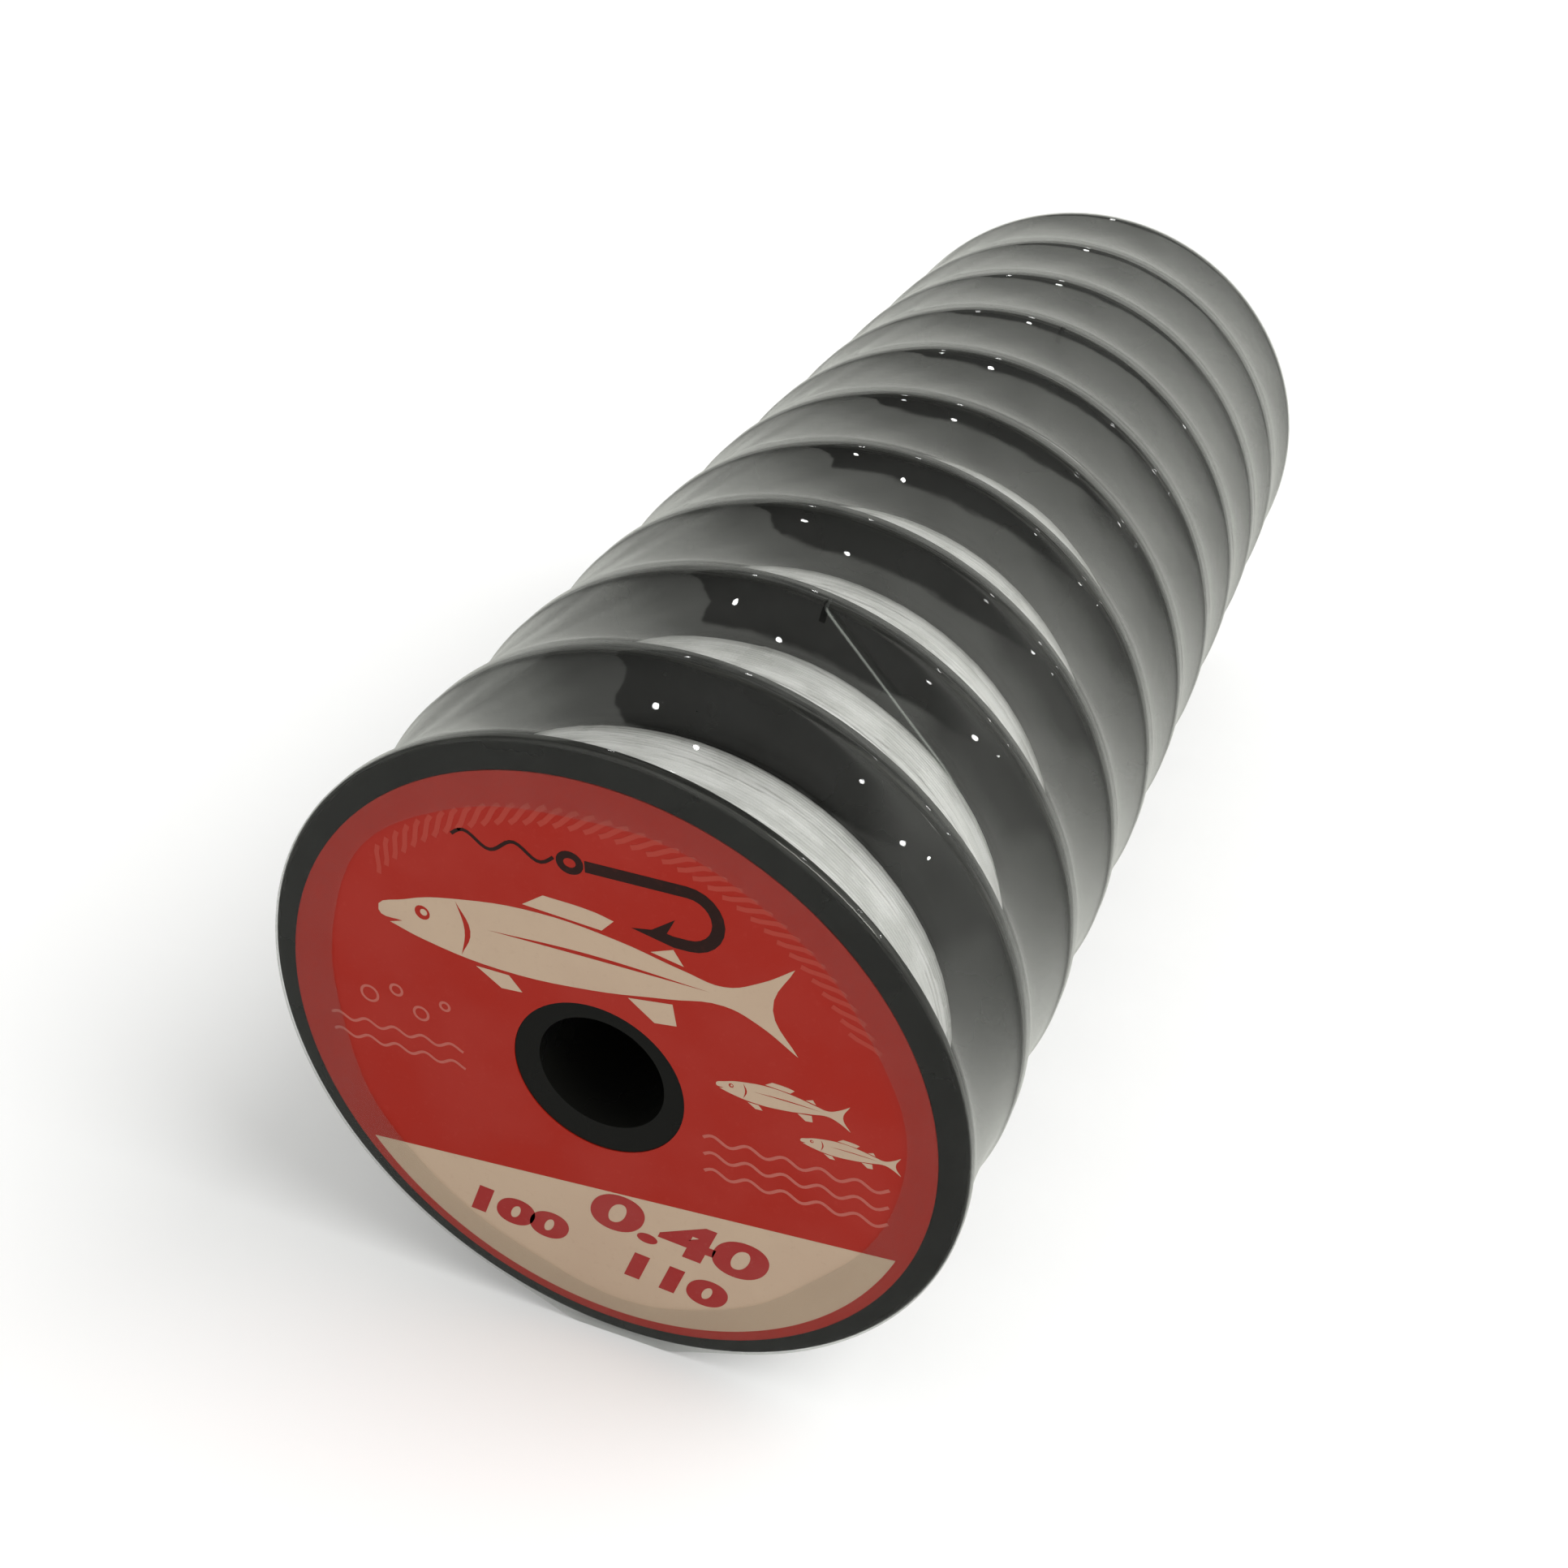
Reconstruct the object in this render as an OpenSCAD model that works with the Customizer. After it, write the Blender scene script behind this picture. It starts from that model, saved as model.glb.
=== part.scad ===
// Pack of plug-together fishing line spools in a clear shrink film.
// Millimetres, +Z up. The pack lies on its side: the spools share one axis along Y, and the
// labelled front end faces -Y. The origin is the middle of the pack's underside.

/* [Pack] */
// Number of spools plugged together
spool_count = 10; // [2:1:14]
// Running gap between a label and the flange of the spool before it
face_clear = 0.05; // [0.02:0.01:0.2]

/* [Spool body] */
// Flange diameter
flange_d = 66; // [62:0.5:80]
// Flange thickness
flange_t = 1; // [0.8:0.1:1.6]
// Width of one spool over both flanges
spool_w = 16; // [13:0.5:22]
// Chamfer on the rim of a flange
rim_chamfer = 0.2; // [0.1:0.05:0.3]
// Outer diameter of the barrel that carries the line
barrel_d = 35.2; // [26:0.2:38]
// Wall of the barrel
barrel_t = 1.5; // [1.2:0.1:2]
// Length of the lap where the two barrel halves plug together
lap_l = 1.5; // [1:0.1:2.5]
// Number of stiffening ribs inside each half
rib_count = 6; // [3:1:8]
// Thickness of a rib
rib_t = 1; // [0.6:0.1:1.5]
// Height of a rib above the flange
rib_h = 4; // [2:0.5:4.5]

/* [Hub] */
// Bore of the hub, the socket for the next spool's collar
bore_d = 12; // [11:0.5:14]
// Wall of the hub sleeve
sleeve_t = 1.8; // [1.2:0.1:2.2]
// Wall of the boss that holds the sleeve's end
boss_t = 1.4; // [1:0.1:2]
// Height of that boss above the rear flange
boss_h = 4; // [2:0.5:5]
// Hole through the collar, for a winding spindle
spindle_d = 9.2; // [8:0.1:9.5]
// How far the collar stands out of the rear flange
collar_l = 1.5; // [1:0.1:3]
// Radial running clearance of the plugged fits
fit_clear = 0.05; // [0.03:0.01:0.08]

/* [Rear flange details] */
// Width of the notch that holds the line's end
notch_w = 0.6; // [0.5:0.05:1]
// Depth of the notch from the rim
notch_depth = 2; // [1.5:0.5:4]
// Turn from one spool's notch to the next one's, in degrees
notch_step = 144; // [90:0.5:180]
// Angle of the notch on the second spool, up from +X, in degrees
tail_notch_angle = 75.5; // [60:0.5:90]
// Depth of the shallow label seat in the rear flange
seat_depth = 0.3; // [0.1:0.05:0.4]
// Outer diameter of the label seat
seat_d = 61; // [50:0.5:61]
// Inner diameter of the label seat
seat_inner_d = 20; // [16:0.5:30]

/* [Label] */
// Label diameter
label_d = 61.4; // [54:0.2:61.4]
// Diameter of the label's centre hole
label_hole_d = 16.4; // [14.5:0.1:20]
// Thickness of the label
label_t = 0.1; // [0.06:0.02:0.2]
// How far the label is stuck off centre along X
label_off_x = -0.3; // [-0.4:0.1:0.4]
// How far the label is stuck off centre along Z
label_off_z = -0.7; // [-0.8:0.1:0.8]

/* [Wound line] */
// Diameter of the line
line_d = 0.4; // [0.2:0.05:0.6]
// Diameter of the full winding
fill_d = 53.6; // [44:0.4:56]
// Turns of the outer layer that are modelled
wind_loops = 6; // [3:1:8]
// Clearance between the winding and the spool around it
wind_clear = 0.1; // [0.05:0.05:0.3]

/* [Shrink film] */
// Thickness of the film
film_t = 0.1; // [0.05:0.01:0.3]
// Clearance between the film and the spools that turn in it
film_clear = 0.3; // [0.2:0.05:0.5]
// How far the film draws in between two pairs of flanges
film_sag = 0.5; // [0.3:0.1:1.4]
// Width of the lip that folds over each end
lip_w = 6.8; // [3:0.2:10]
// Clearance between a lip and the label or flange under it
lip_clear = 0.2; // [0.1:0.05:0.4]
// Width of the flat seam strip that the pack rests on
seam_w = 10; // [8:0.5:16]
// How far the seam strip stands below the flanges' film
seam_drop = 0.15; // [0.1:0.05:0.5]

/* [Hidden] */
$fn = 96;
flange_r = flange_d / 2;
barrel_r = barrel_d / 2;
bore_r = bore_d / 2;
sleeve_r = bore_r + sleeve_t;
boss_r = sleeve_r + fit_clear + boss_t;
collar_r = bore_r - fit_clear;
spindle_r = spindle_d / 2;
lap_mid_r = barrel_r - barrel_t / 2;
inner_face = spool_w - flange_t;
mid_w = spool_w / 2;
root = 0.2; // how deep a rib or wall is rooted in the wall that it joins
cut = 1; // how far a cut runs on past the face that it opens
pitch = spool_w + label_t + face_clear;
stack_l = pitch * (spool_count - 1) + spool_w;

film_in_r = flange_r + film_clear;
film_out_r = film_in_r + film_t;
front_in = -(label_t + lip_clear);
rear_in = stack_l + lip_clear;
lip_hole_r = flange_r - lip_w;
span_l = pitch - 2 * flange_t - label_t - face_clear;
sag_arc_r = span_l * span_l / (8 * film_sag) + film_sag / 2;
seam_bottom = film_out_r + seam_drop;
drawn_in_r = film_out_r - film_sag; // the film's outer radius halfway between two pairs
seam_top = sqrt(pow(drawn_in_r, 2) - pow(seam_w / 2, 2)) - film_t - root;

rear_end = stack_l + collar_l;
front_end = front_in - film_t;
axis_z = seam_bottom;
mid_y = (front_end + rear_end) / 2;

line_r = line_d / 2;
fill_r = fill_d / 2;
wind_rings = 18; // rings of the tube in one turn
wind_sides = 4;
wind_path_r = fill_r - line_r;
chord_sag = wind_path_r * (1 - cos(180 / wind_rings));
core_r = wind_path_r - line_r - chord_sag - wind_clear;
wind_side = flange_t + wind_clear;

tail_sides = 8;
tail_spool = 2;
tail_step = 1; // distance between two rings of the tail
tail_r = fill_r + line_r + fit_clear;
tail_wrap = 30; // how far the tail lies on the winding before it joins it, in degrees
tail_pinch = 0.3; // how far below the rim the tail sits in its notch
tail_rim_r = flange_r - tail_pinch;
tail_reach = acos(tail_r / tail_rim_r);

function two(i) = i < 10 ? str("0", i) : str(i);
function names(stem) = [for (i = [1:spool_count]) str(stem, "_", two(i))];
function notch_angle(i) = tail_notch_angle + notch_step * (i - tail_spool);

// ---- placing -------------------------------------------------------------------------

// Shapes below are drawn along Z. This turns them to lie along +Y, front end to -Y.
module along_y() {
    rotate([-90, 0, 0]) children();
}

module in_pack() {
    translate([0, -mid_y, axis_z]) children();
}

module at_spool(i) {
    in_pack() translate([0, pitch * (i - 1), 0]) children();
}

module ring(inner_r, outer_r, from, to) {
    rotate_extrude() translate([inner_r, from]) square([outer_r - inner_r, to - from]);
}

module rim_disc(inner_r, outer_r, thick, chamfer) {
    rotate_extrude() polygon([
        [inner_r, 0], [outer_r - chamfer, 0], [outer_r, chamfer],
        [outer_r, thick - chamfer], [outer_r - chamfer, thick], [inner_r, thick]
    ]);
}

module ribs(inner_r, outer_r, from, to) {
    for (k = [0:rib_count - 1])
        rotate(360 * (k + 0.5) / rib_count)
            translate([inner_r - root, -rib_t / 2, from])
                cube([outer_r - inner_r + 2 * root, rib_t, to - from]);
}

// ---- spool body ----------------------------------------------------------------------

// Front half: flange, hub sleeve and the barrel half that has the lap's socket.
module front_half() {
    rim_disc(bore_r, flange_r, flange_t, rim_chamfer);
    ring(bore_r, sleeve_r, 0, inner_face - fit_clear);
    ring(barrel_r - barrel_t, barrel_r, 0, mid_w - lap_l - fit_clear);
    ring(lap_mid_r + fit_clear, barrel_r, 0, mid_w);
    ribs(sleeve_r, barrel_r - barrel_t, flange_t - root, flange_t + rib_h - lap_l);
}

// Rear half: flange, boss round the sleeve's end, collar and the barrel half with the spigot.
module rear_half() {
    translate([0, 0, inner_face]) rim_disc(spindle_r, flange_r, flange_t, rim_chamfer);
    ring(spindle_r, collar_r, inner_face, spool_w + collar_l);
    ring(sleeve_r + fit_clear, boss_r, inner_face - boss_h, inner_face + root);
    ring(barrel_r - barrel_t, barrel_r, mid_w, inner_face + root);
    ring(barrel_r - barrel_t, lap_mid_r, mid_w - lap_l, mid_w + root);
    ribs(boss_r, barrel_r - barrel_t, inner_face - rib_h, inner_face + root);
}

module end_notch(angle) {
    rotate(-angle)
        translate([flange_r - notch_depth, -notch_w / 2, inner_face - cut])
            cube([notch_depth + cut, notch_w, flange_t + 2 * cut]);
}

module front_flange(i) {
    color("#20221f") at_spool(i) along_y() front_half();
}

module rear_flange(i) {
    color("#20221f") at_spool(i) along_y() difference() {
        rear_half();
        end_notch(notch_angle(i));
        ring(seat_inner_d / 2, seat_d / 2, spool_w - seat_depth, spool_w + cut);
    }
}

// ---- label ---------------------------------------------------------------------------

module label(i) {
    color("#a32d24") at_spool(i) translate([label_off_x, 0, label_off_z]) along_y()
        translate([0, 0, -label_t]) difference() {
            cylinder(h = label_t, d = label_d);
            translate([0, 0, -cut]) cylinder(h = label_t + 2 * cut, d = label_hole_d);
        }
}

// ---- wound line ----------------------------------------------------------------------

// A tube along a path. Each path item is [centre, side direction]; the rings stand on that
// direction and the spool's axis, so the path has to run round the axis.
function tube_points(path, r, sides) = [
    for (p = path) for (j = [0:sides - 1])
        p[0] + r * cos(360 * j / sides) * p[1] + r * sin(360 * j / sides) * [0, 1, 0]
];
function tube_faces(count, sides) = concat(
    [[for (j = [sides - 1:-1:0]) j]],
    [for (i = [0:count - 2]) for (j = [0:sides - 1]) let (k = (j + 1) % sides, a = i * sides)
        each [[a + j, a + k, a + sides + j], [a + k, a + sides + k, a + sides + j]]],
    [[for (j = [0:sides - 1]) (count - 1) * sides + j]]
);
module tube(path, r, sides) {
    polyhedron(tube_points(path, r, sides), tube_faces(len(path), sides));
}

function radial(angle) = [cos(angle), 0, sin(angle)];
function wind_steps() = wind_loops * wind_rings;
function wind_from() = wind_side + wind_clear + line_r;
function wind_to() = spool_w - wind_from();
function wind_path(start) = [
    for (s = [0:wind_steps()]) let (
        out = radial(start - 360 * s / wind_rings),
        y = wind_from() + (wind_to() - wind_from()) * s / wind_steps()
    ) [wind_path_r * out + [0, y, 0], out]
];

// Least distance between the surfaces of two turns, taken between the path's points.
function turn_gap(path) = min([
    for (a = [0:len(path) - 1]) for (b = [a + wind_rings / 2:len(path) - 1])
        norm(path[a][0] - path[b][0])
]) - line_d;

module wound_line(i) {
    color("#dfe2dd") at_spool(i) {
        along_y() ring(barrel_r + wind_clear, core_r, wind_side, spool_w - wind_side);
        tube(wind_path(notch_angle(i)), line_r, wind_sides);
    }
}

// ---- free end of the line --------------------------------------------------------------

// From its notch in the rim the line runs straight down to the winding and along it.
function tail_start(angle) = tail_rim_r * radial(angle) + [0, inner_face - line_d, 0];
function tail_run(angle) = let (
    from = tail_start(angle),
    to = tail_r * radial(angle - tail_reach) + [0, inner_face - 2 * line_d, 0],
    steps = ceil(norm(to - from) / tail_step)
) [for (s = [1:steps]) from + (to - from) * s / steps];
function tail_lie(angle) = let (steps = ceil(tail_wrap / 360 * 2 * PI * tail_r / tail_step)) [
    for (s = [1:steps]) let (turn = tail_wrap * s / steps)
        tail_r * radial(angle - tail_reach - turn) + [0, inner_face - 2 * line_d, 0]
];
function tail_path(angle) = let (
    pts = concat([tail_start(angle)], tail_run(angle), tail_lie(angle)),
    last = len(pts) - 1
) [
    for (s = [0:last]) let (
        ahead = pts[min(s + 1, last)] - pts[max(s - 1, 0)],
        flat = [ahead[0], 0, ahead[2]] / norm([ahead[0], 0, ahead[2]])
    ) [pts[s], [-flat[2], 0, flat[0]]]
];

module line_tail() {
    angle = notch_angle(tail_spool);
    color("#e8ebe6") at_spool(tail_spool) tube(tail_path(angle), line_r, tail_sides);
}

// ---- shrink film -----------------------------------------------------------------------

// Half section of the film's outer or inner face: straight over the flanges, drawn in on an
// arc between them.
module film_section(r, arc_r, from, to) {
    difference() {
        translate([0, from]) square([r, to - from]);
        for (i = [1:spool_count])
            translate([drawn_in_r + sag_arc_r, pitch * (i - 1) + mid_w])
                circle(arc_r);
    }
}

module film_body(r, arc_r, from, to, wall) {
    along_y() rotate_extrude() film_section(r, arc_r, from, to);
    translate([-seam_w / 2 + wall, from, wall - seam_bottom])
        cube([seam_w - 2 * wall, to - from, seam_bottom - seam_top - wall]);
}

module shrink_film() {
    color("#cdd3cd", 0.3) in_pack() difference() {
        film_body(film_out_r, sag_arc_r, front_end, rear_in + film_t, 0);
        film_body(film_in_r, sag_arc_r + film_t, front_in, rear_in, film_t);
        along_y() translate([0, 0, front_end - cut])
            cylinder(h = rear_in - front_end + film_t + 2 * cut, r = lip_hole_r);
    }
}

echo(least_gap_between_turns_mm = turn_gap(wind_path(0)));

for (i = [1:spool_count]) {
    front_flange(i);
    rear_flange(i);
    wound_line(i);
    label(i);
}
line_tail();
shrink_film();
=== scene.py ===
"""Looks of a pack of plug-together fishing line spools that lies on its side in a shrink film.

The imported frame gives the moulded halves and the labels. This script dresses them, winds close
turns and a few crossing ones over a core on each spool, draws one line's free end, prints the
front label, draws the film over the stack and lights the studio.
"""

import logging
import math
from abc import ABC, abstractmethod
from collections.abc import Callable, Iterator, Sequence
from contextlib import contextmanager
from dataclasses import dataclass, field
from enum import Enum
from functools import partial, reduce

import bmesh
import bpy
import numpy as np
from mathutils import Matrix, Vector, noise


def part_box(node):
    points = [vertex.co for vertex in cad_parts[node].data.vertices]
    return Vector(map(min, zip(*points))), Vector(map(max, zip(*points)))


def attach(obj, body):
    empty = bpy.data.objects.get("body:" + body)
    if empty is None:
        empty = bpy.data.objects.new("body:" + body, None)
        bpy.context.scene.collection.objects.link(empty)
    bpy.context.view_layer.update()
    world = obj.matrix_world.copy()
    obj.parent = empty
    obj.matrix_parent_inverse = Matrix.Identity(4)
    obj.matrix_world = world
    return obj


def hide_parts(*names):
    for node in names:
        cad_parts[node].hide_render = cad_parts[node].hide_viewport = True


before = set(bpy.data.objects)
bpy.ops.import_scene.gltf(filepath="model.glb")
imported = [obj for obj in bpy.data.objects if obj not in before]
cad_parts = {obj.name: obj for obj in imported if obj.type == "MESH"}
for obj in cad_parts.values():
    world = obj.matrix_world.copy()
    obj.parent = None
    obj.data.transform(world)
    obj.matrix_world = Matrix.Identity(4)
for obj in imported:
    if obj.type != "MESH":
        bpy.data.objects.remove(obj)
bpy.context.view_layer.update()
LOG = logging.getLogger("spool_pack")
MM = 0.001
FULL_TURN = 2 * math.pi
NOISE_RANGE = (0.3, 0.7)  # what the values of a noise mostly fill
GRAIN_DEPTH = 0.02 * MM  # depth of the finest relief
FOLD_LEAN = 22.0  # turn of the film's folds round the axis for each metre along it

Colour = tuple[float, float, float]
Point = tuple[float, float]
Range = tuple[float, float]
Socket = bpy.types.NodeSocket


# ---- places, from the frame -------------------------------------------------------------


@dataclass(frozen=True)
class SpoolPlace:
    """Where one spool of the pack stands.

    Attributes:
        number: Its number, 1 at the front.
        front_y: Its front face along Y.
        axis_z: Height of the shared axis.
    """

    number: int
    front_y: float
    axis_z: float

    @property
    def tag(self) -> str:
        """The two-digit number that its nodes' names end with."""
        return f"{self.number:02d}"

    @property
    def body(self) -> str:
        """The name of its body in the frame."""
        return f"spool_{self.tag}"


def spool_places() -> list[SpoolPlace]:
    """Reads every spool's place from the boxes of the front flanges.

    Returns:
        One place for each spool, front to back.
    """
    places = []
    for number in range(1, sum(name.startswith("front_flange_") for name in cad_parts) + 1):
        low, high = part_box(f"front_flange_{number:02d}")
        places.append(SpoolPlace(number, low.y, (low.z + high.z) / 2))
    return places


PLACES = spool_places()
AXIS_Z = PLACES[0].axis_z
PITCH = PLACES[1].front_y - PLACES[0].front_y


# ---- modelling steps --------------------------------------------------------------------


def start_clean() -> None:
    """Leaves edit mode and deselects everything."""
    if bpy.context.object and bpy.context.object.mode != "OBJECT":
        bpy.ops.object.mode_set(mode="OBJECT")
    bpy.ops.object.select_all(action="DESELECT")


def only(piece: bpy.types.Object) -> None:
    """Makes a piece the active object and the only selected one."""
    start_clean()
    piece.select_set(True)
    bpy.context.view_layer.objects.active = piece


def settle(piece: bpy.types.Object, name: str) -> bpy.types.Object:
    """Names a piece and puts its place into its mesh.

    Args:
        piece: A mesh object with any location, rotation and scale.
        name: Its new name.

    Returns:
        The same piece, at the origin, unturned and unscaled.
    """
    only(piece)
    bpy.ops.object.transform_apply(location=True, rotation=True, scale=True)
    piece.name = piece.data.name = name
    return piece


@contextmanager
def editing(piece: bpy.types.Object) -> Iterator[None]:
    """Opens a piece in edit mode with all its vertices selected, and closes it again.

    Args:
        piece: The mesh object to edit.

    Yields:
        Nothing, while edit mode is on.
    """
    only(piece)
    bpy.ops.object.mode_set(mode="EDIT")
    bpy.ops.mesh.select_mode(type="VERT")
    bpy.ops.mesh.select_all(action="SELECT")
    yield
    bpy.ops.object.mode_set(mode="OBJECT")


def mend(piece: bpy.types.Object, gap: float = 0.001 * MM) -> None:
    """Merges doubled vertices and turns all faces outwards.

    Args:
        piece: The mesh object to mend.
        gap: Vertices closer than this become one.
    """
    with editing(piece):
        bpy.ops.mesh.remove_doubles(threshold=gap)
        bpy.ops.mesh.normals_make_consistent(inside=False)


def apply_modifier(piece: bpy.types.Object, kind: str, **settings: object) -> None:
    """Adds a modifier with the given settings and applies it.

    Args:
        piece: The mesh object that takes it.
        kind: The modifier's type.
        **settings: Its properties.
    """
    only(piece)
    modifier = piece.modifiers.new(kind.title(), kind)
    for key, value in settings.items():
        setattr(modifier, key, value)
    bpy.ops.object.modifier_apply(modifier=modifier.name)


def joined(pieces: Sequence[bpy.types.Object], name: str) -> bpy.types.Object:
    """Joins pieces into one object.

    Args:
        pieces: Mesh objects at the origin.
        name: The joined object's name.

    Returns:
        The joined object.
    """
    only(pieces[0])
    for piece in pieces[1:]:
        piece.select_set(True)
    bpy.ops.object.join()
    pieces[0].name = pieces[0].data.name = name
    return pieces[0]


def smooth(piece: bpy.types.Object, angle_deg: float) -> None:
    """Shades a piece smooth, except at edges sharper than an angle in degrees."""
    only(piece)
    bpy.ops.object.shade_smooth_by_angle(angle=math.radians(angle_deg))


def revolved(name: str, outline: Sequence[Point], steps: int, closed: bool) -> bpy.types.Object:
    """Draws an outline vertex by vertex and spins it once round the Y axis.

    Args:
        name: The new object's name.
        outline: Points as (y, radius).
        steps: Steps of the full turn.
        closed: Whether the outline's last point joins its first.

    Returns:
        The spun surface, round the Y axis through the origin.
    """
    start_clean()
    y, r = outline[0]
    bpy.ops.mesh.primitive_plane_add(size=MM, location=(r, y, 0))
    piece = settle(bpy.context.object, name)
    with editing(piece):
        bpy.ops.mesh.merge(type="CENTER")
        for (y0, r0), (y1, r1) in zip(outline, outline[1:]):
            bpy.ops.mesh.extrude_vertices_move(
                TRANSFORM_OT_translate={"value": (r1 - r0, y1 - y0, 0)})
        if closed:
            bpy.ops.mesh.select_all(action="DESELECT")
            sheet = bmesh.from_edit_mesh(piece.data)
            for vert in sheet.verts:
                vert.select = len(vert.link_edges) == 1
            bmesh.update_edit_mesh(piece.data)
            bpy.ops.mesh.edge_face_add()
        bpy.ops.mesh.select_all(action="SELECT")
        bpy.ops.mesh.spin(
            steps=steps, angle=FULL_TURN, center=(0, 0, 0), axis=(0, 1, 0), use_auto_merge=True)
    mend(piece)
    return piece


def move_points(piece: bpy.types.Object, rule: Callable[[np.ndarray], np.ndarray]) -> None:
    """Moves a mesh's vertices by a rule.

    Args:
        piece: The mesh object to change.
        rule: Takes the (n, 3) places and returns the new ones.
    """
    co = np.empty(len(piece.data.vertices) * 3)
    piece.data.vertices.foreach_get("co", co)
    piece.data.vertices.foreach_set("co", rule(co.reshape(-1, 3)).ravel())
    piece.data.update()


def log_faces(piece: bpy.types.Object) -> None:
    """Reports a finished piece and its number of faces."""
    LOG.info("%s: %d faces", piece.name, len(piece.data.polygons))


# ---- finishes ---------------------------------------------------------------------------


class Blend(Enum):
    """How two colours are put together."""

    MIX = "MIX"
    PRODUCT = "MULTIPLY"


class Graph:
    """The node tree of one material or of the world, with short calls to grow it."""

    def __init__(self, tree: bpy.types.NodeTree) -> None:
        """Empties the tree.

        Args:
            tree: The node tree to fill.
        """
        tree.nodes.clear()
        self.tree = tree

    def add(self, kind: str, inputs: dict[int | str, object] | None = None,
            **settings: object) -> bpy.types.Node:
        """Adds a node.

        Args:
            kind: The node's type.
            inputs: Values or sockets for its inputs, by name or number.
            **settings: Its own properties.

        Returns:
            The new node.
        """
        node = self.tree.nodes.new(kind)
        for key, value in settings.items():
            setattr(node, key, value)
        for key, value in (inputs or {}).items():
            if isinstance(value, Socket):
                self.tree.links.new(value, node.inputs[key])
            else:
                node.inputs[key].default_value = value
        return node

    def math(self, operation: str, *values: float | Socket) -> Socket:
        """Adds a Math node and returns its result."""
        return self.add("ShaderNodeMath", dict(enumerate(values)), operation=operation).outputs[0]

    def plus(self, *values: float | Socket) -> Socket:
        """Adds values up, in their order."""
        return reduce(partial(self.math, "ADD"), values)

    def times(self, *values: float | Socket) -> Socket:
        """Multiplies values, in their order."""
        return reduce(partial(self.math, "MULTIPLY"), values)

    def minus(self, a: float | Socket, b: float | Socket) -> Socket:
        """Takes the second value from the first."""
        return self.math("SUBTRACT", a, b)

    def span(self, value: Socket, low: float, high: float,
             to_low: float = 0.0, to_high: float = 1.0) -> Socket:
        """Maps a value smoothly from one range to another, held at both ends.

        Args:
            value: The value to map.
            low: Where the result is to_low.
            high: Where the result is to_high.
            to_low: Result at low.
            to_high: Result at high.

        Returns:
            The mapped value.
        """
        inputs = {"Value": value, "From Min": low, "From Max": high,
                  "To Min": to_low, "To Max": to_high}
        node = self.add("ShaderNodeMapRange", inputs, interpolation_type="SMOOTHSTEP")
        return node.outputs["Result"]

    def steps(self, value: Socket, stops: Sequence[Point]) -> Socket:
        """Maps a value by straight lines from stop to stop.

        Args:
            value: The value to map.
            stops: Pairs of a value and its result, in rising order.

        Returns:
            The mapped value.
        """
        low, high = stops[0][0], stops[-1][0]
        share = self.math("DIVIDE", self.minus(value, low), high - low)
        node = self.add("ShaderNodeValToRGB", {0: share})
        marks = node.color_ramp.elements
        for at, _ in stops[1:-1]:
            marks.new((at - low) / (high - low))
        for mark, (_, result) in zip(marks, stops):
            mark.color = (result, result, result, 1)
        return node.outputs[0]

    def noise(self, place: Socket, scale: float, detail: float = 2.0) -> Socket:
        """Adds a noise of the given scale and returns its value."""
        inputs = {"Vector": place, "Scale": scale, "Detail": detail}
        return self.add("ShaderNodeTexNoise", inputs).outputs["Fac"]

    def mix(self, share: float | Socket, a: Colour | Socket, b: Colour | Socket,
            blend: Blend = Blend.MIX) -> Socket:
        """Puts two colours together.

        Args:
            share: The share of the second colour, or of the product.
            a: The first colour.
            b: The second colour.
            blend: How they are put together.

        Returns:
            The resulting colour.
        """
        node = self.add("ShaderNodeMix", {"Factor": share},
                        data_type="RGBA", blend_type=blend.value)
        for socket, value in zip(node.inputs[6:8], (a, b)):
            if isinstance(value, Socket):
                self.tree.links.new(value, socket)
            else:
                socket.default_value = (*value, 1)
        return node.outputs[2]

    def between(self, share: Socket, a: float | Socket, b: float | Socket) -> Socket:
        """Mixes two numbers."""
        inputs = {"Factor": share, 2: a, 3: b}
        return self.add("ShaderNodeMix", inputs, data_type="FLOAT").outputs[0]

    def place(self) -> Socket:
        """The place on the piece, with the pack's axis as the Y axis."""
        inputs = {0: self.add("ShaderNodeTexCoord").outputs["Object"], 1: (0, 0, AXIS_Z)}
        return self.add("ShaderNodeVectorMath", inputs, operation="SUBTRACT").outputs[0]

    def round_place(self) -> tuple[Socket, Socket, Socket]:
        """Finds a place on the piece by its turn round the pack's axis.

        Returns:
            The turn from the top towards +X in radians, the way along the axis and the radius.
        """
        x, y, z = self.add("ShaderNodeSeparateXYZ", {0: self.place()}).outputs
        radius = self.math("SQRT", self.plus(self.times(x, x), self.times(z, z)))
        return self.math("ARCTAN2", x, z), y, radius

    def streaks(self, around: float, across: float, detail: float = 3.0) -> Socket:
        """Adds a noise that is drawn out round the pack's axis.

        Args:
            around: Its scale for each radian of turn.
            across: Its scale for each metre along the axis and outwards.
            detail: Its layers of detail.

        Returns:
            The noise's value.
        """
        turn, along, radius = self.round_place()
        spot = self.vector(self.times(turn, around), self.times(along, across),
                           self.times(radius, across))
        return self.noise(spot, 1.0, detail)

    def vector(self, x: float | Socket, y: float | Socket, z: float | Socket) -> Socket:
        """Combines three values to a vector."""
        return self.add("ShaderNodeCombineXYZ", {0: x, 1: y, 2: z}).outputs[0]

    def bump(self, height: Socket, strength: float | Socket, depth: float) -> Socket:
        """Adds a bump and returns its normal."""
        inputs = {"Height": height, "Strength": strength, "Distance": depth}
        return self.add("ShaderNodeBump", inputs).outputs["Normal"]


def dress(piece: bpy.types.Object, material: bpy.types.Material) -> None:
    """Gives a piece one material all over."""
    piece.data.materials.clear()
    piece.data.materials.append(material)


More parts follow.
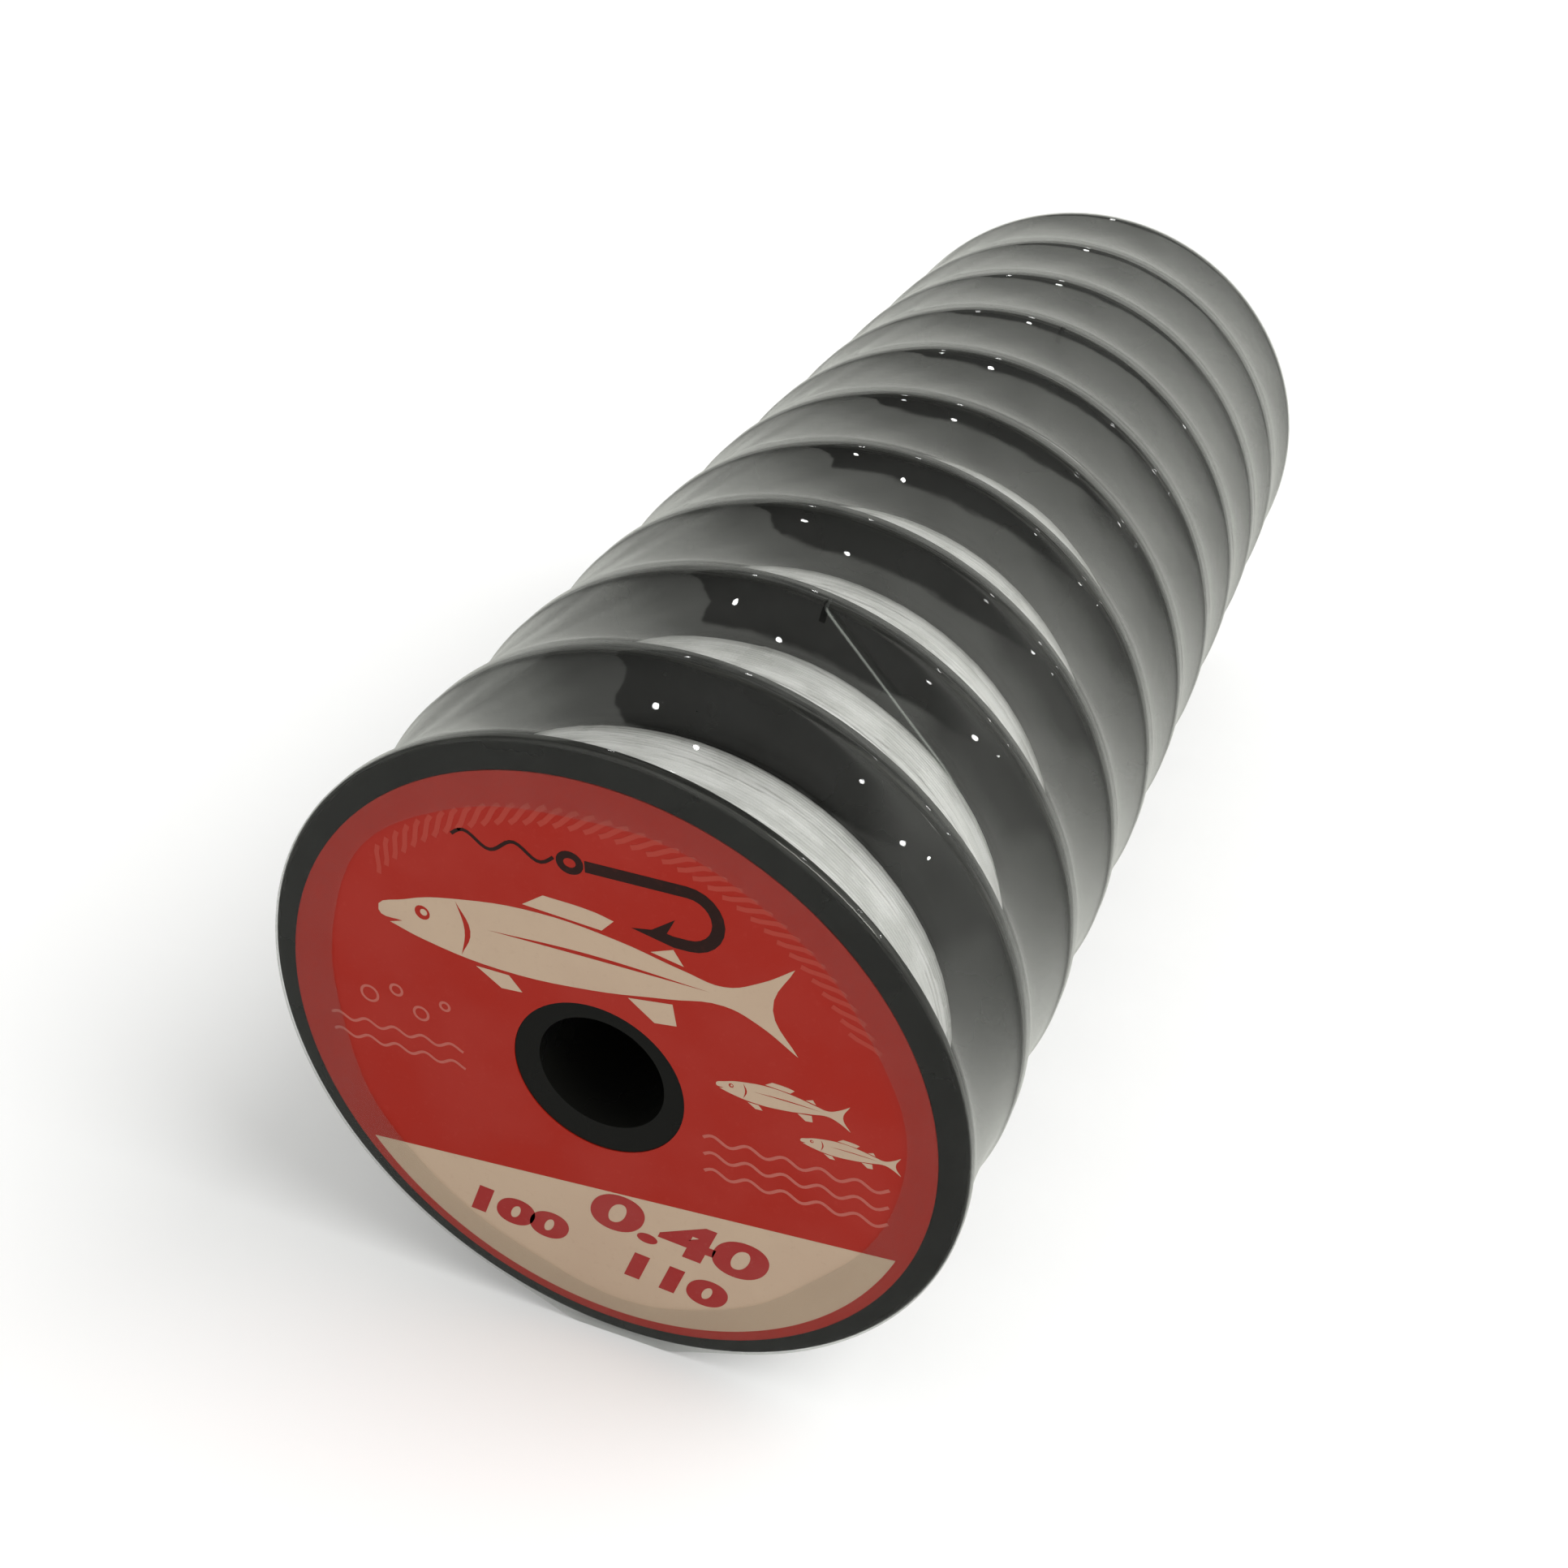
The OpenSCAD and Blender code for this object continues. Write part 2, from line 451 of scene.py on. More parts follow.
class Finish(ABC):
    """A finish, which makes one material.

    Attributes:
        name: The material's name.
    """

    name: str

    @abstractmethod
    def shader(self, g: Graph) -> bpy.types.Node:
        """Draws the finish.

        Args:
            g: The material's empty graph.

        Returns:
            The shader that is the surface.
        """

    def material(self) -> bpy.types.Material:
        """Builds the material.

        Returns:
            The new material.
        """
        made = bpy.data.materials.new(self.name)
        made.use_nodes = True
        g = Graph(made.node_tree)
        g.add("ShaderNodeOutputMaterial", {"Surface": self.shader(g).outputs[0]})
        return made


@dataclass(frozen=True)
class MouldedPlastic(Finish):
    """Black moulded plastic, semi-gloss, scuffed paler where the rims rub."""

    name: str = "moulded_black_plastic"
    colour: Colour = (0.0085, 0.0086, 0.0074)
    scuffed: Colour = (0.040, 0.040, 0.036)
    rim: Range = (32.3 * MM, 33.0 * MM)
    rub_scales: Range = (5.0, 2400.0)
    rub_range: Range = (0.40, 0.75)
    scuff_share: float = 0.8
    scuff_dull: float = 0.18
    roughness: Range = (0.20, 0.30)
    cloud_scale: float = 90.0
    grain_scale: float = 5200.0
    ring_pitch: float = 0.9 * MM
    ring_height: float = 0.12
    relief: float = 0.05
    specular: float = 0.4

    def shader(self, g: Graph) -> bpy.types.Node:
        """Draws the plastic with its scuffing, grain and mould rings.

        Args:
            g: The material's empty graph.

        Returns:
            The shader that is the surface.
        """
        place = g.place()
        radius = g.round_place()[2]
        cloud = g.noise(place, self.cloud_scale, detail=4)
        grain = g.noise(place, self.grain_scale, detail=3)
        wear = g.times(g.span(radius, *self.rim),
                       g.span(g.streaks(*self.rub_scales), *self.rub_range))
        rings = g.math("SINE", g.times(radius, FULL_TURN / self.ring_pitch))
        height = g.plus(grain, g.times(rings, self.ring_height))
        return g.add("ShaderNodeBsdfPrincipled", {
            "Base Color": g.mix(g.times(wear, self.scuff_share), self.colour, self.scuffed),
            "Roughness": g.plus(g.span(cloud, *NOISE_RANGE, *self.roughness),
                                g.times(wear, self.scuff_dull)),
            "Specular IOR Level": self.specular,
            "Normal": g.bump(height, self.relief, GRAIN_DEPTH),
        })


@dataclass(frozen=True)
class NylonLine(Finish):
    """Clear nylon line, pale and satin where it is wound, with painted shade in the rear flange's
    corner.

    Attributes:
        first_y: The front face of the first spool along Y.
        pale: Colour where most light comes back.
        deep: Colour where less comes back.
        light_range: Values of the pattern between which deep turns into pale.
        corner: What the painted shade in the rear corner leaves of the colour.
        corner_shade_range: Where the painted shade in a spool's rear corner begins and ends,
            behind its front face.
        roughness: Roughness at the bright and at the dull patches.
        streak_scales: Scales of the streaks, for each radian and for each metre.
        streak_share: Share of the streaks in the pattern.
        patch_scales: Scales of the soft patches, for each radian and for each metre.
        grain_scale: Scale of the grain.
        relief: Strength of the grain.
    """

    first_y: float
    name: str = "clear_nylon_line"
    pale: Colour = (0.735, 0.73, 0.715)
    deep: Colour = (0.555, 0.555, 0.535)
    light_range: Range = (0.38, 0.60)
    # The corner colour is painted shade: it darkens the line towards each rear flange.
    corner: Colour = (0.38, 0.38, 0.37)
    corner_shade_range: Range = (13.7 * MM, 15.0 * MM)
    roughness: Range = (0.24, 0.40)
    streak_scales: Range = (3.0, 1500.0)
    streak_share: float = 0.5
    patch_scales: Range = (5.0, 260.0)
    grain_scale: float = 5200.0
    relief: float = 0.15

    def shader(self, g: Graph) -> bpy.types.Node:
        """Draws the streaks and patches round the axis and the painted shade in the rear corner.

        Args:
            g: The material's empty graph.

        Returns:
            The shader that is the surface.
        """
        streak = g.streaks(*self.streak_scales)
        patch = g.streaks(*self.patch_scales, detail=4)
        light = g.plus(g.times(streak, self.streak_share), g.times(patch, 1 - self.streak_share))
        colour = g.mix(g.span(light, *self.light_range), self.deep, self.pale)
        # Painted shade: the line is darkened near each spool's rear flange, where that flange
        # shades it.
        behind = g.math("FLOORED_MODULO", g.minus(g.round_place()[1], self.first_y), PITCH)
        corner_shade_share = g.span(behind, *self.corner_shade_range)
        return g.add("ShaderNodeBsdfPrincipled", {
            "Base Color": g.mix(corner_shade_share, colour, self.corner, Blend.PRODUCT),
            "Roughness": g.span(patch, *NOISE_RANGE, *self.roughness),
            "Normal": g.bump(g.noise(g.place(), self.grain_scale), self.relief, GRAIN_DEPTH),
        })


@dataclass(frozen=True)
class SingleLine(Finish):
    """One clear nylon line by itself: only its middle catches light, the rest is clear."""

    name: str = "clear_single_line"
    tint: Colour = (0.93, 0.95, 0.93)
    pale: Colour = (0.62, 0.64, 0.61)
    roughness: Range = (0.17, 0.27)
    waver_scale: float = 900.0
    relief: float = 0.2
    ior: float = 1.53
    core: float = 0.32
    edge: float = 0.04
    core_to: float = 0.02
    edge_from: float = 0.24

    def shader(self, g: Graph) -> bpy.types.Node:
        """Draws a satin middle in a clear line.

        Args:
            g: The material's empty graph.

        Returns:
            The shader that is the surface.
        """
        waver = g.noise(g.place(), self.waver_scale, detail=3)
        satin = g.add("ShaderNodeBsdfPrincipled", {
            "Base Color": (*self.pale, 1), "IOR": self.ior,
            "Roughness": g.span(waver, *NOISE_RANGE, *self.roughness),
            "Normal": g.bump(waver, self.relief, GRAIN_DEPTH),
        })
        clear = g.add("ShaderNodeBsdfTransparent", {"Color": (*self.tint, 1)})
        facing = g.add("ShaderNodeLayerWeight", {"Blend": 0.5}).outputs["Facing"]
        share = g.span(facing, self.core_to, self.edge_from, self.core, self.edge)
        return g.add("ShaderNodeMixShader", {0: share, 1: clear.outputs[0], 2: satin.outputs[0]})


@dataclass(frozen=True)
class Ink(Finish):
    """A printed colour on the label's coated paper.

    Attributes:
        colour: The ink's colour.
        faded: The colour where it is rubbed thin.
        roughness: Roughness at the clear and at the cloudy places.
        cloud_scale: Scale of the clouds.
        cloud_rub: Values of the clouds between which rubbing sets in.
        cloud_fade: Share of the faded colour that the clouds add.
        fibre_scale: Scale of the paper's fibres.
        fibre_rub: Values of the fibres between which rubbing sets in.
        fibre_fade: Share of the faded colour that the fibres add.
        relief: Strength of the fibres.
        specular: Strength of the gloss.
    """

    name: str
    colour: Colour
    faded: Colour
    roughness: Range = (0.36, 0.50)
    cloud_scale: float = 130.0
    cloud_rub: Range = (0.35, 0.75)
    cloud_fade: float = 0.35
    fibre_scale: float = 1900.0
    fibre_rub: Range = (0.58, 0.75)
    fibre_fade: float = 0.30
    relief: float = 0.12
    specular: float = 0.25

    def shader(self, g: Graph) -> bpy.types.Node:
        """Draws the ink, thinner where clouds and fibres are rubbed.

        Args:
            g: The material's empty graph.

        Returns:
            The shader that is the surface.
        """
        place = g.place()
        cloud = g.noise(place, self.cloud_scale, detail=4)
        fibre = g.noise(place, self.fibre_scale, detail=3)
        rubbed = g.plus(g.span(cloud, *self.cloud_rub, 0.0, self.cloud_fade),
                        g.span(fibre, *self.fibre_rub, 0.0, self.fibre_fade))
        return g.add("ShaderNodeBsdfPrincipled", {
            "Base Color": g.mix(rubbed, self.colour, self.faded),
            "Roughness": g.span(cloud, *NOISE_RANGE, *self.roughness),
            "Specular IOR Level": self.specular,
            "Normal": g.bump(fibre, self.relief, GRAIN_DEPTH),
        })


@dataclass(frozen=True)
class ClearFilm(Finish):
    """Clear shrink film: glossy, faintly milky, milkier on its lips, rims and side folds; on the
    side folds that milk is partly a painted reflection.

    Attributes:
        ends_y: The stack's ends along Y. The lips lie just beyond them.
        rim_y: A place along Y midway between the rims of two spools.
        straight_gloss: Share reflected by one face when seen straight on.
        gloss_power: How fast the reflected share grows towards the edge.
        roughness: How dull its gloss is.
        haze: Share scattered by one face over the first and over the last spool.
        haze_from: The share of the stack's length at which the haze begins to grow.
        haze_spread: Factors between which the crinkles vary the haze.
        lip_haze: Share that the lips add.
        lip_blend: Way beyond the stack's end over which the lip sets in.
        lip_clear: Ways inside the stack's end between which rims and folds set in.
        rim_haze: Share that the rubbed bands over the rims add.
        rim_w: Half the width of a rubbed band.
        rim_core: The part of that width that is fully rubbed.
        rub_scales: Scales of the rubbing's streaks, for each radian and for each metre.
        rub_range: Values of the streaks between which they tell.
        rub_least: What is left of the rubbing between the streaks.
        fold_haze_and_reflection: Share that the folds on the side add: milky film, and partly a
            painted reflection.
        fold_scales: Scales of the folds, for each radian and for each metre.
        fold_turns: Turns from the top between which the folds set in.
        fold_range: Values of the folds' noise between which a fold sets in.
        ripple_scale: Scale of the ripples.
        crinkle_scale: Scale of the crinkles.
        crinkle_height: Height of the crinkles, as a share of the ripples'.
        ripple: Strength of both over the spools.
        lip_ripple: Strength of both on the lips.
        ripple_depth: Depth of the ripples.
        milk: Colour of the haze.
        tint: Colour of what shows through one face.
    """

    ends_y: Range
    rim_y: float
    name: str = "clear_shrink_film"
    straight_gloss: float = 0.04
    gloss_power: float = 5.0
    roughness: float = 0.02
    haze: Range = (0.002, 0.022)
    haze_from: float = 0.4
    haze_spread: Range = (0.85, 1.15)
    lip_haze: float = 0.006
    lip_blend: float = 0.3 * MM
    lip_clear: Range = (1.5 * MM, 3.0 * MM)
    rim_haze: float = 0.026
    rim_w: float = 0.9 * MM
    rim_core: float = 0.6
    rub_scales: Range = (7.0, 2600.0)
    rub_range: Range = (0.35, 0.65)
    rub_least: float = 0.35
    fold_haze_and_reflection: float = 0.034
    fold_scales: Range = (5.0, 40.0)
    fold_turns: Range = (-0.10, -0.55)
    fold_range: Range = (0.44, 0.62)
    ripple_scale: float = 95.0
    crinkle_scale: float = 620.0
    crinkle_height: float = 0.05
    ripple: float = 0.5
    lip_ripple: float = 0.2
    ripple_depth: float = 0.09 * MM
    milk: Colour = (0.82, 0.84, 0.80)
    tint: Colour = (0.985, 0.988, 0.983)

    def haze_share(self, g: Graph, crinkle: Socket, within: Socket) -> Socket:
        """Draws where the film is milky, with the painted reflection on the side folds.

        Args:
            g: The material's graph.
            crinkle: A fine noise on the film.
            within: How far a place lies inside the stack's ends.

        Returns:
            The share of light that one face scatters.
        """
        turn, along, _ = g.round_place()
        on_lip = g.span(within, 0.0, -self.lip_blend)
        off_lip = g.span(within, *self.lip_clear)
        to_rim = g.math("PINGPONG", g.minus(along, self.rim_y), PITCH / 2)
        rubbed = g.times(g.span(to_rim, self.rim_w, self.rim_core * self.rim_w), off_lip,
                         g.span(g.streaks(*self.rub_scales), *self.rub_range, self.rub_least))
        # Milky folds on the left side only: their lighter streaks are partly a painted reflection.
        around, across = self.fold_scales
        leaned = g.minus(turn, g.times(along, FOLD_LEAN))
        folds = g.noise(g.vector(g.times(leaned, around), g.times(along, across), 0.0), 1.0)
        folds_and_reflection = g.times(g.span(turn, *self.fold_turns), off_lip, g.span(folds, *self.fold_range))
        start, end = self.ends_y
        haze = g.span(along, start + self.haze_from * (end - start), end, *self.haze)
        for where, share in ((on_lip, self.lip_haze), (rubbed, self.rim_haze),
                             (folds_and_reflection, self.fold_haze_and_reflection)):
            haze = g.plus(g.times(where, share), haze)
        return g.times(haze, g.span(crinkle, *NOISE_RANGE, *self.haze_spread))

    def shader(self, g: Graph) -> bpy.types.Node:
        """Draws a glossy, rippled face over a clear and slightly milky one.

        Args:
            g: The material's empty graph.

        Returns:
            The shader that is the surface.
        """
        place = g.place()
        along = g.round_place()[1]
        within = g.math("MINIMUM", g.minus(along, self.ends_y[0]), g.minus(self.ends_y[1], along))
        ripple = g.noise(place, self.ripple_scale, detail=3)
        crinkle = g.noise(place, self.crinkle_scale)
        height = g.plus(ripple, g.times(crinkle, self.crinkle_height))
        strength = g.span(within, 0.0, -self.lip_blend, self.ripple, self.lip_ripple)
        normal = g.bump(height, strength, self.ripple_depth)
        facing = g.add("ShaderNodeLayerWeight", {"Blend": 0.5, "Normal": normal}).outputs["Facing"]
        edge_on = g.math("POWER", facing, self.gloss_power)
        gloss_share = g.plus(g.times(edge_on, 1 - self.straight_gloss), self.straight_gloss)
        glossy = g.add("ShaderNodeBsdfAnisotropic", {
            "Color": (1, 1, 1, 1), "Roughness": self.roughness, "Normal": normal})
        clear = g.add("ShaderNodeBsdfTransparent", {"Color": (*self.tint, 1)})
        milky = g.add("ShaderNodeBsdfDiffuse", {"Color": (*self.milk, 1), "Normal": normal})
        body = g.add("ShaderNodeMixShader", {
            0: self.haze_share(g, crinkle, within), 1: clear.outputs[0], 2: milky.outputs[0]})
        return g.add("ShaderNodeMixShader",
                     {0: gloss_share, 1: body.outputs[0], 2: glossy.outputs[0]})


@dataclass(frozen=True)
class PaleFloor(Finish):
    """An even, nearly white floor with faint clouds, which glows a little."""

    name: str = "pale_floor"
    colours: tuple[Colour, Colour] = ((0.92, 0.92, 0.915), (0.95, 0.95, 0.945))
    cloud_scale: float = 3.0
    glow: float = 0.10

    def shader(self, g: Graph) -> bpy.types.Node:
        """Draws the dull, glowing floor.

        Args:
            g: The material's empty graph.

        Returns:
            The shader that is the surface.
        """
        coords = g.add("ShaderNodeTexCoord").outputs["Object"]
        return g.add("ShaderNodeBsdfPrincipled", {
            "Base Color": g.mix(g.noise(coords, self.cloud_scale, detail=3), *self.colours),
            "Roughness": 1.0, "Specular IOR Level": 0.0,
            "Emission Color": (1, 1, 1, 1), "Emission Strength": self.glow,
        })


# ---- spools -----------------------------------------------------------------------------


@dataclass
class SpoolBody:
    """The two moulded halves of one spool, which keep their shape from the frame."""

    place: SpoolPlace
    plastic: bpy.types.Material

    def build(self) -> None:
        """Dresses both halves."""
        for half in ("front_flange", "rear_flange"):
            dress(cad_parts[f"{half}_{self.place.tag}"], self.plastic)
        LOG.info("%s: two moulded halves", self.place.body)


@dataclass
class Winding:
    """The line on one spool: a packed core, a layer of close turns and a few crossing ones."""

    line: bpy.types.Material
    line_r: float = 0.2 * MM
    fill_r: float = 26.8 * MM
    first_fill_r: float = 26.3 * MM
    wide_r: float = 27.0 * MM
    lead: float = 0.345 * MM
    barrel_r: float = 17.7 * MM
    spool_w: float = 16.0 * MM
    flange_t: float = 1.0 * MM
    side_gap: float = 0.1 * MM
    sides: int = 6
    steps: int = 72
    cross_turns: int = 3
    close_depth: float = 1.7  # of the close turns' middle below the full radius, in line radii
    core_steps: int = 96
    wobble: float = 0.10 * MM
    close_sway: float = 0.10 * MM
    cross_sway: float = 0.35 * MM
    stray_around: float = 2.1  # how fast the straying changes round the axis
    stray_along: float = 0.9  # and with each millimetre along it
    sway_pace: float = 1.7  # how much faster the sideways part changes
    turn_step_deg: float = 137.5

    def helix(self, path_r: float, start_y: float, lead: float, turns: int,
              sway: float) -> bpy.types.Object:
        """Winds one closed tube round the Y axis.

        Args:
            path_r: Radius of the line's middle.
            start_y: Where the first turn starts.
            lead: Advance along Y in one turn.
            turns: Number of turns.
            sway: How far the turns stray sideways.

        Returns:
            The tube.
        """
        start_clean()
        bpy.ops.mesh.primitive_circle_add(
            vertices=self.sides, radius=self.line_r, fill_type="NOTHING",
            location=(path_r, start_y, 0))
        tube = settle(bpy.context.object, "turns")
        apply_modifier(
            tube, "SCREW", axis="Y", angle=FULL_TURN, screw_offset=lead, iterations=turns,
            steps=self.steps, render_steps=self.steps)
        with editing(tube):
            bpy.ops.mesh.fill_holes(sides=self.sides)
        move_points(tube, lambda co: self.strayed(co, path_r, sway))
        mend(tube, gap=0.0001 * MM)
        return tube

    def strayed(self, co: np.ndarray, path_r: float, sway: float) -> np.ndarray:
        """Lets the turns stray a little, and never past the full radius or the flanges.

        Args:
            co: The tube's points.
            path_r: Radius of the line's middle.
            sway: How far the turns stray sideways.

        Returns:
            The moved points.
        """
        moved = co.copy()
        for row, (x, y, z) in enumerate(co):
            r = math.hypot(x, z)
            around = self.stray_around
            spot = Vector((x / r * around, y / MM * self.stray_along, z / r * around))
            sink = self.wobble * (0.5 + 0.5 * noise.noise(spot))
            moved[row, 0] -= sink * x / r
            moved[row, 2] -= sink * z / r
            elsewhere = spot * self.sway_pace + Vector((9.0, path_r / MM, 4.0))
            moved[row, 1] += sway * noise.noise(elsewhere)
        low = self.flange_t + self.side_gap
        moved[:, 1] = np.clip(moved[:, 1], low, self.spool_w - low)
        return moved

    def model(self) -> bpy.types.Object:
        """Models the winding once, with its spool's front face at y 0 and the axis at z 0.

        Returns:
            The winding.
        """
        low = self.flange_t + self.side_gap + self.line_r
        width = self.spool_w - 2 * low
        turns = round(width / self.lead)
        lower_r = self.fill_r - self.close_depth * self.line_r
        upper_r = self.fill_r - self.line_r
        close = self.helix(lower_r, low, width / turns, turns, self.close_sway)
        there, back = (
            self.helix(upper_r, low, width / self.cross_turns, self.cross_turns, self.cross_sway)
            for _ in range(2))
        move_points(back, lambda co: co * (1, -1, 1) + (0, self.spool_w, 0))
        mend(back)
        start, end = low - self.line_r, self.spool_w - low + self.line_r
        core_r = lower_r - self.wobble
        core = revolved("core", [(start, self.barrel_r), (start, core_r), (end, core_r),
                                 (end, self.barrel_r)], self.core_steps, closed=True)
        winding = joined([close, there, back, core], "winding")
        smooth(winding, angle_deg=70)
        return winding

    def build(self) -> None:
        """Models one winding and sets a turned copy of it on every spool."""
        pattern = self.model()
        for place in PLACES:
            only(pattern)
            bpy.ops.object.duplicate(linked=False)
            copy = bpy.context.object
            copy.rotation_euler = (0, math.radians(self.turn_step_deg * place.number), 0)
            settle(copy, f"winding_{place.tag}")
            fill = self.first_fill_r if place is PLACES[0] else self.fill_r
            copy.scale = (self.wide_r / self.fill_r, 1, fill / self.fill_r)
            copy.location = (0, place.front_y, place.axis_z)
            settle(copy, copy.name)
            dress(copy, self.line)
            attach(copy, place.body)
            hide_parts(f"wound_line_{place.tag}")
            log_faces(copy)
        bpy.data.objects.remove(pattern)


@dataclass
class LineTail:
    """The free end of the second spool's line, from its notch in the rim to the winding."""

    line: bpy.types.Material
    place: SpoolPlace
    line_r: float = 0.2 * MM
    notch_deg: float = 75.5
    meet_deg: float = 41.3
    lie_deg: float = 30.0
    notch_r: float = 32.7 * MM
    lie_r: float = 27.05 * MM
    sunk_r: float = 26.64 * MM
    sink_deg: float = 7.0
    outer_y: float = 15.9 * MM
    inner_y: float = 14.6 * MM
    lie_y: float = 14.2 * MM
    notch_ways: Range = (0.5 * MM, 0.25 * MM)  # from both sides of the flange into the notch
    straight_shares: tuple[float, ...] = (0.03, 0.1, 0.3, 0.5, 0.7, 0.9, 0.97)
    lie_from_deg: float = 1.5
    lie_points: int = 12

    def on_spool(self, radius: float, deg: float, y: float) -> Vector:
        """Finds a place round the spool's axis.

        Args:
            radius: Its distance from the axis.
            deg: Its angle up from +X, in degrees.
            y: Its way behind the spool's front face.

        Returns:
            The place.
        """
        turn = math.radians(deg)
        return Vector((radius * math.cos(turn), self.place.front_y + y,
                       self.place.axis_z + radius * math.sin(turn)))

    def route(self) -> list[Vector]:
        """Leads the line through the notch, straight down and then along the winding.

        Returns:
            The points of its route.
        """
        outer, inner = self.notch_ways
        points = [self.on_spool(self.notch_r, self.notch_deg, y)
                  for y in (self.outer_y, self.outer_y - outer, self.inner_y + inner)]
        start = self.on_spool(self.notch_r, self.notch_deg, self.inner_y)
        meet = self.on_spool(self.lie_r, self.meet_deg, self.lie_y)
        points += [start.lerp(meet, share) for share in self.straight_shares]
        for turn in np.linspace(self.lie_from_deg, self.lie_deg, self.lie_points):
            sunk = min(turn / self.sink_deg, 1)
            points.append(self.on_spool(self.lie_r + (self.sunk_r - self.lie_r) * sunk,
                                        self.meet_deg - turn, self.lie_y))
        return points

    def build(self) -> None:
        """Draws the route as a round bar and turns it into a mesh."""
        start_clean()
        bpy.ops.curve.primitive_nurbs_path_add()
        tail = bpy.context.object
        tail.data.splines.clear()
        spline = tail.data.splines.new("NURBS")
        route = self.route()
        spline.points.add(len(route) - 1)
        for point, spot in zip(spline.points, route):
            point.co = (*spot, 1)
        spline.order_u = 4
        spline.use_endpoint_u = True
        spline.resolution_u = 6
        tail.data.dimensions = "3D"
        tail.data.bevel_depth = self.line_r
        tail.data.bevel_resolution = 4
        tail.data.use_fill_caps = True
        bpy.ops.object.convert(target="MESH")
        settle(tail, "line_end")
        mend(tail)
        smooth(tail, angle_deg=60)
        dress(tail, self.line)
        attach(tail, self.place.body)
        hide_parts("line_tail")
        log_faces(tail)


# ---- label ------------------------------------------------------------------------------


class Corner(Enum):
    """How an outline passes one of its points."""

    ROUND = "AUTO"
    SHARP = "VECTOR"


@dataclass
class Outline:
    """A closed flat outline, in shares of the flange radius, x to the right and z up.

    Attributes:
        points: Its points, in order.
        sharp: Numbers of the points that are corners, or None where all of them are.
    """

    points: list[Point]
    sharp: set[int] | None = None

    def corner(self, number: int) -> Corner:
        """How the outline passes a point."""
        return Corner.SHARP if self.sharp is None or number in self.sharp else Corner.ROUND

    def moved(self, scale: float, x: float, z: float) -> "Outline":
        """A copy that is scaled about the origin and then moved to the right and up."""
        return Outline([(x + scale * a, z + scale * b) for a, b in self.points], self.sharp)


def oval(x: float, z: float, half_x: float, half_z: float, count: int = 24) -> Outline:
    """An oval of points that stand all round a centre."""
    turns = [FULL_TURN * k / count for k in range(count)]
    return Outline([(x + half_x * math.cos(t), z + half_z * math.sin(t)) for t in turns])


def stroke(middle: Sequence[Point], width: float) -> Outline:
    """The outline of a line of even width.

    Args:
        middle: Points along its middle.
        width: Its width.

    Returns:
        The outline, up one side and down the other.
    """
    left, right = [], []
    for k, (x, z) in enumerate(middle):
        (ax, az), (bx, bz) = middle[max(k - 1, 0)], middle[min(k + 1, len(middle) - 1)]
        size = math.hypot(bx - ax, bz - az)
        nx, nz = -(bz - az) / size * width / 2, (bx - ax) / size * width / 2
        left.append((x + nx, z + nz))
        right.append((x - nx, z - nz))
    return Outline(left + right[::-1])


WAVE_POINTS = 12  # to one wave


def wave(x_from: float, x_to: float, z: float, rise: float, length: float,
         width: float) -> Outline:
    """The outline of a wavy line of even width.

    Args:
        x_from: Where it starts.
        x_to: Where it ends.
        z: The height that it swings about.
        rise: How far it swings up and down.
        length: The length of one wave.
        width: Its width.

    Returns:
        The outline.
    """
    count = round((x_to - x_from) / length * WAVE_POINTS)
    xs = [x_from + (x_to - x_from) * k / count for k in range(count + 1)]
    return stroke([(x, z + rise * math.sin(FULL_TURN * (x - x_from) / length)) for x in xs], width)


# The outlines of one fish, head to the left.
FISH = [
    Outline([(-0.70, -0.02), (-0.60, 0.045), (-0.40, 0.100), (-0.15, 0.125), (0.10, 0.100),
             (0.30, 0.055), (0.42, 0.036), (0.53, 0.085), (0.63, 0.160), (0.565, 0.0),
             (0.64, -0.145), (0.52, -0.065), (0.42, -0.032), (0.25, -0.062), (0.0, -0.108),
             (-0.30, -0.125), (-0.55, -0.090), (-0.665, -0.055), (-0.62, -0.040)],
            {8, 10, 17, 18}),
    oval(-0.545, 0.012, 0.026, 0.026, 16),
    oval(-0.540, 0.014, 0.012, 0.012, 12),
    Outline([(-0.425, 0.088), (-0.385, -0.01), (-0.425, -0.108), (-0.405, -0.01)], {0, 2}),
    Outline([(-0.33, 0.012), (0.0, 0.024), (0.38, 0.004), (0.0, 0.010)], {0, 2}),
    Outline([(-0.20, 0.142), (-0.13, 0.192), (0.03, 0.180), (0.09, 0.165), (0.05, 0.122)],
            {0, 1, 3, 4}),
    Outline([(0.20, 0.092), (0.27, 0.120), (0.30, 0.070)]),
    Outline([(-0.38, -0.136), (-0.30, -0.195), (-0.23, -0.190), (-0.27, -0.138)]),
    Outline([(0.12, -0.098), (0.20, -0.165), (0.27, -0.155), (0.26, -0.078)]),
]
# Waves as wave() takes them.
WATER = [(0.29, 0.80, z, 0.012, 0.10, 0.010) for z in (-0.115, -0.175, -0.235)]
WATER += [(-0.84, -0.42, z, 0.010, 0.09, 0.009) for z in (-0.06, -0.12)]
# Bubbles as x, z and radius.
BUBBLES = [(-0.70, 0.05, 0.030), (-0.61, 0.09, 0.022), (-0.54, 0.03, 0.026), (-0.46, 0.08, 0.018)]
BUBBLE_WALL = 0.008
# Figures as text, size, x and z: the line's diameter and its length in two measures.
FIGURES = [("0.40", 0.190, 0.18, -0.585), ("100", 0.135, -0.33, -0.680),
           ("110", 0.135, 0.16, -0.750)]


# The barb, as ways from the hook's end in wire widths.
BARB = [(-4.5, 0.3), (-2.9, 0.6), (-1.0, 2.0), (-1.7, 0.6)]


